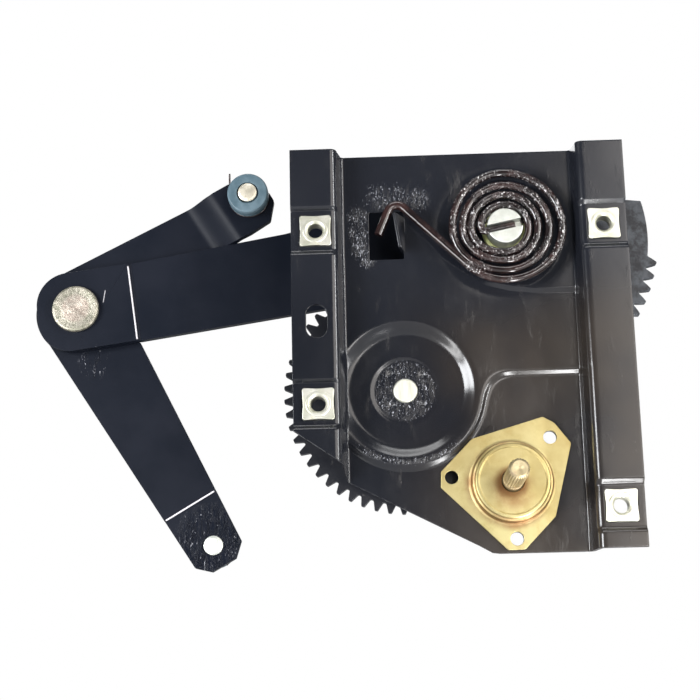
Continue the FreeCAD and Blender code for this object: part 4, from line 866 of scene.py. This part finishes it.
def spring_paths():
    """Outer path, from the tail to the stud's last turn, and inner path into the slot."""
    pivot = Vector((PIVOT[0], SPRING_DEPTH, PIVOT[1]))
    bend, end = Vector((-47.9, SPRING_DEPTH, 128.4)), Vector((-55.0, SPRING_DEPTH, 111.6))
    to_bend = bend - pivot
    start = math.atan2(to_bend.z, to_bend.x) + math.acos(SPRING_REACHES[0] / to_bend.length)
    first_quarter = start / (math.pi / 2) - 3
    touch = spring_point(first_quarter)
    back, ahead = (end - bend).normalized(), (touch - bend).normalized()
    half, turn = back.angle(ahead) / 2, 4.2
    set_back = turn / math.tan(half)
    middle = bend + (back + ahead).normalized() * (turn / math.sin(half))
    outer = [end + (bend + back * set_back - end) * (i / 22) for i in range(23)]
    turn_in, turn_out = outer[-1] - middle, bend + ahead * set_back - middle
    outer += [middle + turn_in.slerp(turn_out, i / 12) * turn for i in range(1, 12)]
    run = bend + ahead * set_back
    outer += [run + (touch - run) * (i / 70) for i in range(70)]
    steps = 900
    quarters = len(SPRING_REACHES) - 1 - first_quarter
    outer += [spring_point(first_quarter + quarters * i / steps) for i in range(steps + 1)]

    slot, small_turn, in_slot = math.radians(STUD_SLOT + 180), 2.5, 4.6
    bend_reach = SPRING_REACHES[-1] - small_turn
    a = slot - math.asin(small_turn / bend_reach)
    inner = arc(pivot, SPRING_REACHES[-1], 0, a)
    corner = pivot + Vector((math.cos(a), 0, math.sin(a))) * bend_reach
    inner += arc(corner, small_turn, a, slot + math.pi / 2, 0.4)[1:]
    last = pivot - Vector((math.cos(slot), 0, math.sin(slot))) * in_slot
    inner += [inner[-1] + (last - inner[-1]) * (i / 24) for i in range(1, 25)]
    return outer, inner


def add_spring():
    """The coil on the base with its hook, and the last half turn that the stud's slot holds."""
    outer, inner = spring_paths()
    hidden = arc((PIVOT[0], SPRING_DEPTH, PIVOT[1]), SPRING_REACHES[-1], 0, math.radians(104))[1:]

    def clots(point):
        lump = noise.noise(point * 0.5) + 0.5 * noise.noise(point * 1.7)
        return 0.10 * max(0.0, lump) + 0.035 * noise.noise(point * 2.6)

    bm = bmesh.new()
    tube(bm, outer, lambda share: WIRE_RADIUS + 0.24 * (1 - ramp(share, 0.05, 0.14)), wobble=clots)
    tube(bm, hidden, 1.5)
    new_piece("spring_coil", mesh_of(bm, "spring_coil"), SPRING, "base", "counterbalance_spring",
              sharp=60)
    bm = bmesh.new()
    tube(bm, inner, WIRE_RADIUS, wobble=clots)
    new_piece("spring_hook", mesh_of(bm, "spring_hook"), SPRING, "lift_arm", slot="spring_steel",
              sharp=60)


def add_stud():
    """Slotted stud and the notched collar round it."""
    body = turned("stud", [(0, 3.0), (7.95, 3.0), (8.0, 24.7), (6.5, 24.7), (6.5, 32.5), (8.5, 32.5),
                           (8.5, 34.1), (0, 34.1)], [0, 0.55, 0.1, 0.1, 0.1, 0.3, 0.4, 0], PIVOT)
    ends = ((-20, -1.85), (20, -1.85), (20, 1.85), (-20, 1.85))
    slot_outline = [swung(PIVOT, math.radians(STUD_SLOT), *end) for end in ends]
    stud = bevel_sharp(subtracted(body, prisms("stud_slot", (slot_outline, 0, 8.4))), 0.16, 2, 60)
    new_piece("lift_pivot_stud_milled", stud, STUD, "lift_arm", "lift_pivot_stud", sharp=35)
    collar = turned("collar", [(8.05, 11.5), (9.8, 11.5), (9.9, 12.4), (9.9, 13.1), (8.05, 13.1)],
                    [0.1, 0.5, 0.1, 0.1, 0.05], PIVOT)
    notches = [circle(*swung(PIVOT, a, 9.9), 1.5, 20) for a in (-1.57, 0.5, 2.6)]
    notches = prisms("collar_notches", *((notch, 10, 14) for notch in notches))
    collar = bevel_sharp(subtracted(collar, notches), 0.1, 1, 60)
    new_piece("pivot_collar_formed", collar, COLLAR, "base", "pivot_collar", sharp=35)


# ---- rivets, pins and rollers


def add_elbow():
    """Large rivet at the elbow, its head a little uneven."""
    mesh = turned("elbow", [(0, 24.55), (5.6, 24.5), (7.4, 24.55), (9.7, 24.4), (10.45, 24.75),
                            (10.8, 25.5), (10.6, 27.0), (7.0, 27.0), (7.0, 37.2), (9.4, 37.2),
                            (9.0, 38.9), (0, 39.6)],
                  [0, 1.0, 1.0, 0.4, 0.3, 0.5, 0.2, 0.1, 0.1, 0.3, 0.8, 0], ELBOW, 128)
    mesh = displaced(mesh, lambda p: 0.05 * noise.noise(p * 0.9))
    new_piece("elbow_rivet_peened", mesh, ELBOW_ZINC, "lift_arm", "elbow_rivet")


def add_roller(name, body, place, face, inward):
    """Moulded roller: recessed face round the pin, shallow groove behind the face."""
    corners = [(3.3, 1.7), (4.95, 1.7), (4.95, 0), (8.8, 0), (9.35, 0.5), (9.35, 1.15), (9.1, 1.3),
               (9.1, 1.55), (9.4, 1.75), (9.4, 6.1), (8.7, 6.8), (3.3, 6.8)]
    mesh = turned(name, [(r, face + inward * depth) for r, depth in corners],
                  [0.05, 0.2, 0.25, 0.35, 0.2, 0.08, 0.08, 0.08, 0.15, 0.4, 0.4, 0.2], place, 128)
    new_piece(name + "_moulded", mesh, NYLON, body, name)


def add_pin(name, body, place, near, far, finish):
    """Riveted pin with a peened head at each end."""
    mesh = turned(name, [(0, near), (3.2, near + 0.02), (4.3, near + 0.35), (4.45, near + 0.8),
                         (3.2, near + 0.85), (3.2, far - 0.85), (4.45, far - 0.8), (4.3, far - 0.3),
                         (0, far)],
                  [0, 0.8, 0.3, 0.1, 0.05, 0.05, 0.1, 0.3, 0], place, 72)
    mesh = displaced(mesh, lambda p: 0.07 * noise.noise(p * 0.8) - 0.04)
    new_piece(name + "_peened", mesh, finish, body, name)


def add_ring(name, body, place, radius, depth, start, tail):
    """Open ring of thin wire round the pin, with one straight end."""
    start = math.radians(start)
    loop = arc((place[0], depth, place[1]), radius, start, start + math.radians(315), 0.5)
    back = Vector((math.sin(start), 0, -math.cos(start)))
    path = [loop[0] + back * (tail * (1 - i / 12)) for i in range(12)] + loop
    bm = bmesh.new()
    tube(bm, path, 0.46, sides=10, wobble=lambda p: 0.03 * noise.noise(p * 1.5))
    new_piece(name + "_wire", mesh_of(bm, name), SPRING, body, name, sharp=60)


def toothed_outline(place, module, count, first):
    """Corners and their radii of a wheel with count teeth, the first at an angle in degrees."""
    pitch_radius = module * count / 2
    root, tip = pitch_radius - 1.2 * module, pitch_radius + module
    corners, radii = [], []
    for i in range(count):
        a = math.radians(first + 360 * i / count)
        for side, reach, width, radius in ((-1, root, 1.16, 0.8), (-1, tip, 0.38, 0.5),
                                           (1, tip, 0.38, 0.5), (1, root, 1.16, 0.8)):
            corners.append(swung(place, a, reach, side * width * module))
            radii.append(radius)
    return corners, radii


def add_wheel():
    """Idler wheel with its teeth, its bore and the holes of its three rivets."""
    outline = rounded(*toothed_outline(IDLER, 1.9, 55, 163.0), 3)
    holes = [circle(*IDLER, 8.0)]
    holes += [circle(*swung(IDLER, i * 2 * math.pi / 3, 11), 1.5, 24) for i in range(3)]
    mesh = subtracted(prisms("wheel", (outline, 20.4, 23.9)),
                      prisms("wheel_holes", *((hole, 10, 30) for hole in holes)))
    new_piece("idler_wheel_cut", bevel_sharp(mesh, 0.14, 1, 60), GEAR, "idler", "idler_wheel")


def bent_strip(angle, levels, length):
    """Strip along an arm of the lever, whose front face eases between (distance, depth) levels."""
    thick, half_width = 4.0, 24
    a = math.radians(angle)
    along, across = Vector((math.cos(a), math.sin(a))), Vector((-math.sin(a), math.cos(a)))

    def depth(u):
        for (u0, y0), (u1, y1) in zip(levels, levels[1:]):
            if u < u1:
                return y0 + (y1 - y0) * ramp(u, u0, u1)
        return levels[-1][1]

    bm = bmesh.new()
    count = round(length / 0.7)
    rings = []
    for i in range(count + 1):
        u = length * i / count
        slope = (depth(u + 0.1) - depth(u - 0.1)) / 0.2
        stand = math.hypot(1.0, slope)
        ring = []
        for y, v in ((0.0, -half_width), (0.0, half_width), (thick, half_width), (thick, -half_width)):
            flat = Vector(ELBOW) + along * u + across * v
            ring.append(bm.verts.new((flat.x, depth(u) + y * (1 + 0.3 * (stand - 1)), flat.y)))
        rings.append(ring)
    skin(bm, rings)
    bm.faces.new(rings[0])
    bm.faces.new(rings[-1][::-1])
    return mesh_of(bm, "strip")


def arm_outline(angle, corners, radii):
    """Tall prism of an outline given along and across an arm of the lever."""
    outline = [swung(ELBOW, math.radians(angle), *corner) for corner in rounded(corners, radii, 5)]
    return prisms("arm_outline", (outline, 5.0, 60.0))


def add_forked_lever():
    """Hub with two arms: the upper one steps forward in a soft bend, the lower one back a little."""
    front = 33.3
    upper = subtracted(
        bent_strip(32.0, [(-1, front), (67.0, front), (82.5, front - 9.0), (200, front - 9.0)], 112),
        arm_outline(32.0, [(0.5, -19.5), (62, -17.6), (70, -10.6), (79.5, -13.9), (86.5, -14.6),
                           (97.2, -14.5), (103.8, -7.3), (104, -3), (99.4, 9.4), (90, 11.4),
                           (80, 11.9), (68, 14.4), (0.5, 20.8)],
                    [0, 14, 9, 9, 5, 1.5, 2, 3, 4, 5, 9, 9, 0]), "INTERSECT")
    lower = subtracted(
        bent_strip(-60.2, [(-1, front), (104.0, front), (106.0, front + 1), (300, front + 1)], 142),
        arm_outline(-60.2, [(0.5, -19.4), (130, -12), (135.5, -6.2), (135.6, 5.8), (130, 11.8),
                            (0.5, 19)], [0, 0.8, 0.8, 0.8, 0.8, 0]), "INTERSECT")
    hub = prisms("hub", (circle(*ELBOW, 20.0, 96), front, front + 4.0))
    lever = subtracted(subtracted(upper, lower, "UNION"), hub, "UNION")
    holes = [circle(*ELBOW, 7.05, 40), circle(*UPPER, 3.2, 32), circle(*LOWER, 3.2, 32)]
    lever = subtracted(lever, prisms("lever_holes", *((hole, 5, 60) for hole in holes)))
    new_piece("forked_lever_pressed", bevel_sharp(lever, 0.3, 2, 55), ARM, "forked_lever",
              "forked_lever", sharp=45)


add_plate()
add_nuts()
add_housing()
add_spindle()
add_spring()
add_stud()
add_elbow()
add_roller("upper_roller", "upper_roller", UPPER, 16.2, 1)
add_roller("lower_roller", "lower_roller", LOWER, 46.4, -1)
add_pin("upper_roller_pin", "forked_lever", UPPER, 15.25, 29.0, PIN)
add_pin("lower_roller_pin", "forked_lever", LOWER, 33.55, 47.3, STUD)
add_ring("upper_roller_ring", "forked_lever", UPPER, 9.0, 23.75, 180.0, 12.0)
add_ring("lower_roller_ring", "forked_lever", LOWER, 9.6, 38.85, -40.2, 3.0)
add_wheel()
add_forked_lever()
softened("lift_arm", 0.3)
softened("sector_gear", 0.45, SECTOR, 3)
for soft_name in ("idler_pinion", "crank_pinion"):
    softened(soft_name, 0.2)
softened("idler_pin", 0.15, IDLER_PIN)
for soft_name in ("sector_rivets", "pivot_sleeve", "elbow_spacer", "brake_drum", "idler_bush",
                  "idler_washer", "idler_rivets", "idler_clip", "pinion_clip"):
    softened(soft_name, 0.12)


# ---- studio


def add_camera():
    """A long lens in front of the plate and a little below it."""
    right = Vector((0.9992, 0.0333, -0.0218)).normalized()
    forward = Vector((-0.0275, 0.9734, 0.2275)).normalized()
    up = right.cross(forward).normalized()
    right = forward.cross(up)
    data = bpy.data.cameras.new("camera")
    data.sensor_width = 36.0
    data.lens = 75.0857
    data.clip_end = 20.0
    camera = placed("camera", data)
    turn = Matrix((right, up, -forward)).transposed()
    camera.matrix_world = Matrix.Translation(Vector((-51.2, -618.2, -86.7)) * MM) @ turn.to_4x4()
    bpy.context.scene.camera = camera


def add_area(name, place, aim, size, power, colour=(1, 1, 1)):
    """Rectangular lamp, in metres and watts, that the camera doesn't see."""
    data = bpy.data.lights.new(name, "AREA")
    data.shape = "RECTANGLE"
    data.size, data.size_y = size
    data.energy = power
    data.color = colour
    lamp = placed(name, data)
    lamp.location = place
    lamp.rotation_euler = (Vector(aim) - Vector(place)).to_track_quat("-Z", "Y").to_euler()
    lamp.visible_camera = False


def add_world():
    """White to the camera and to nothing else, with a dim even fill."""
    world = bpy.data.worlds.new("studio")
    bpy.context.scene.world = world
    world.use_nodes = True
    tree = world.node_tree
    fill, white = tree.nodes["Background"], tree.nodes.new("ShaderNodeBackground")
    for node, colour, strength in ((fill, (0.86, 0.93, 1.0, 1.0), 0.13), (white, (1, 1, 1, 1), 1.0)):
        node.inputs["Color"].default_value = colour
        node.inputs["Strength"].default_value = strength
    path = tree.nodes.new("ShaderNodeLightPath")
    mix = tree.nodes.new("ShaderNodeMixShader")
    tree.links.new(path.outputs["Is Camera Ray"], mix.inputs["Fac"])
    tree.links.new(fill.outputs[0], mix.inputs[1])
    tree.links.new(white.outputs[0], mix.inputs[2])
    tree.links.new(mix.outputs[0], tree.nodes["World Output"].inputs["Surface"])


FLOOR = -0.16


def add_floor():
    """Pale floor that fades out far from the part."""
    mesh = bpy.data.meshes.new("floor")
    half = 2.2
    corners = [(-half, -half, FLOOR), (half, -half, FLOOR), (half, half, FLOOR), (-half, half, FLOOR)]
    mesh.from_pydata(corners, [], [(0, 1, 2, 3)])
    floor = placed("floor", mesh)
    n = Nodes("floor_paint")
    tone = n.noise(3, 3, 0.5)
    n.link(n.mix(tone, (0.58, 0.58, 0.58), (0.62, 0.62, 0.62)), "Base Color")
    n.set(Roughness=0.9)
    n.link(n.near((0, FLOOR / MM), 550, 1500, (1, 1, 1)), "Alpha")
    mesh.materials.append(n.material)


add_camera()
add_world()
add_floor()
add_area("right", (0.56, -1.02, 0.22), (0.0, 0, 0.04), (0.72, 0.9), 8.5, (1.0, 0.95, 0.90))
add_area("right_strip", (0.95, -0.55, 0.10), (0.0, 0, 0.06), (0.12, 1.1), 15)
add_area("left", (-0.88, -0.68, 0.07), (-0.03, 0, 0.05), (0.42, 0.42), 14, (0.95, 0.97, 1.0))
add_area("low", (0.060, -0.03, -0.15), (0.060, -0.03, 0.0), (0.036, 0.22), 0.75)
add_area("low_left", (-0.36, -0.30, -0.15), (-0.30, -0.2, 0.0), (0.22, 0.20), 1.7)
add_area("front", (0.30, -1.0, -0.075), (-0.03, 0, 0.05), (0.24, 0.14), 0.9)
add_area("top", (-0.1, -0.40, 1.1), (-0.05, 0, 0.08), (0.9, 0.25), 5)
add_area("rear", (-0.2, 0.9, 0.9), (-0.05, 0, 0.06), (1.0, 1.0), 12)
bpy.context.scene.view_settings.view_transform = "Standard"
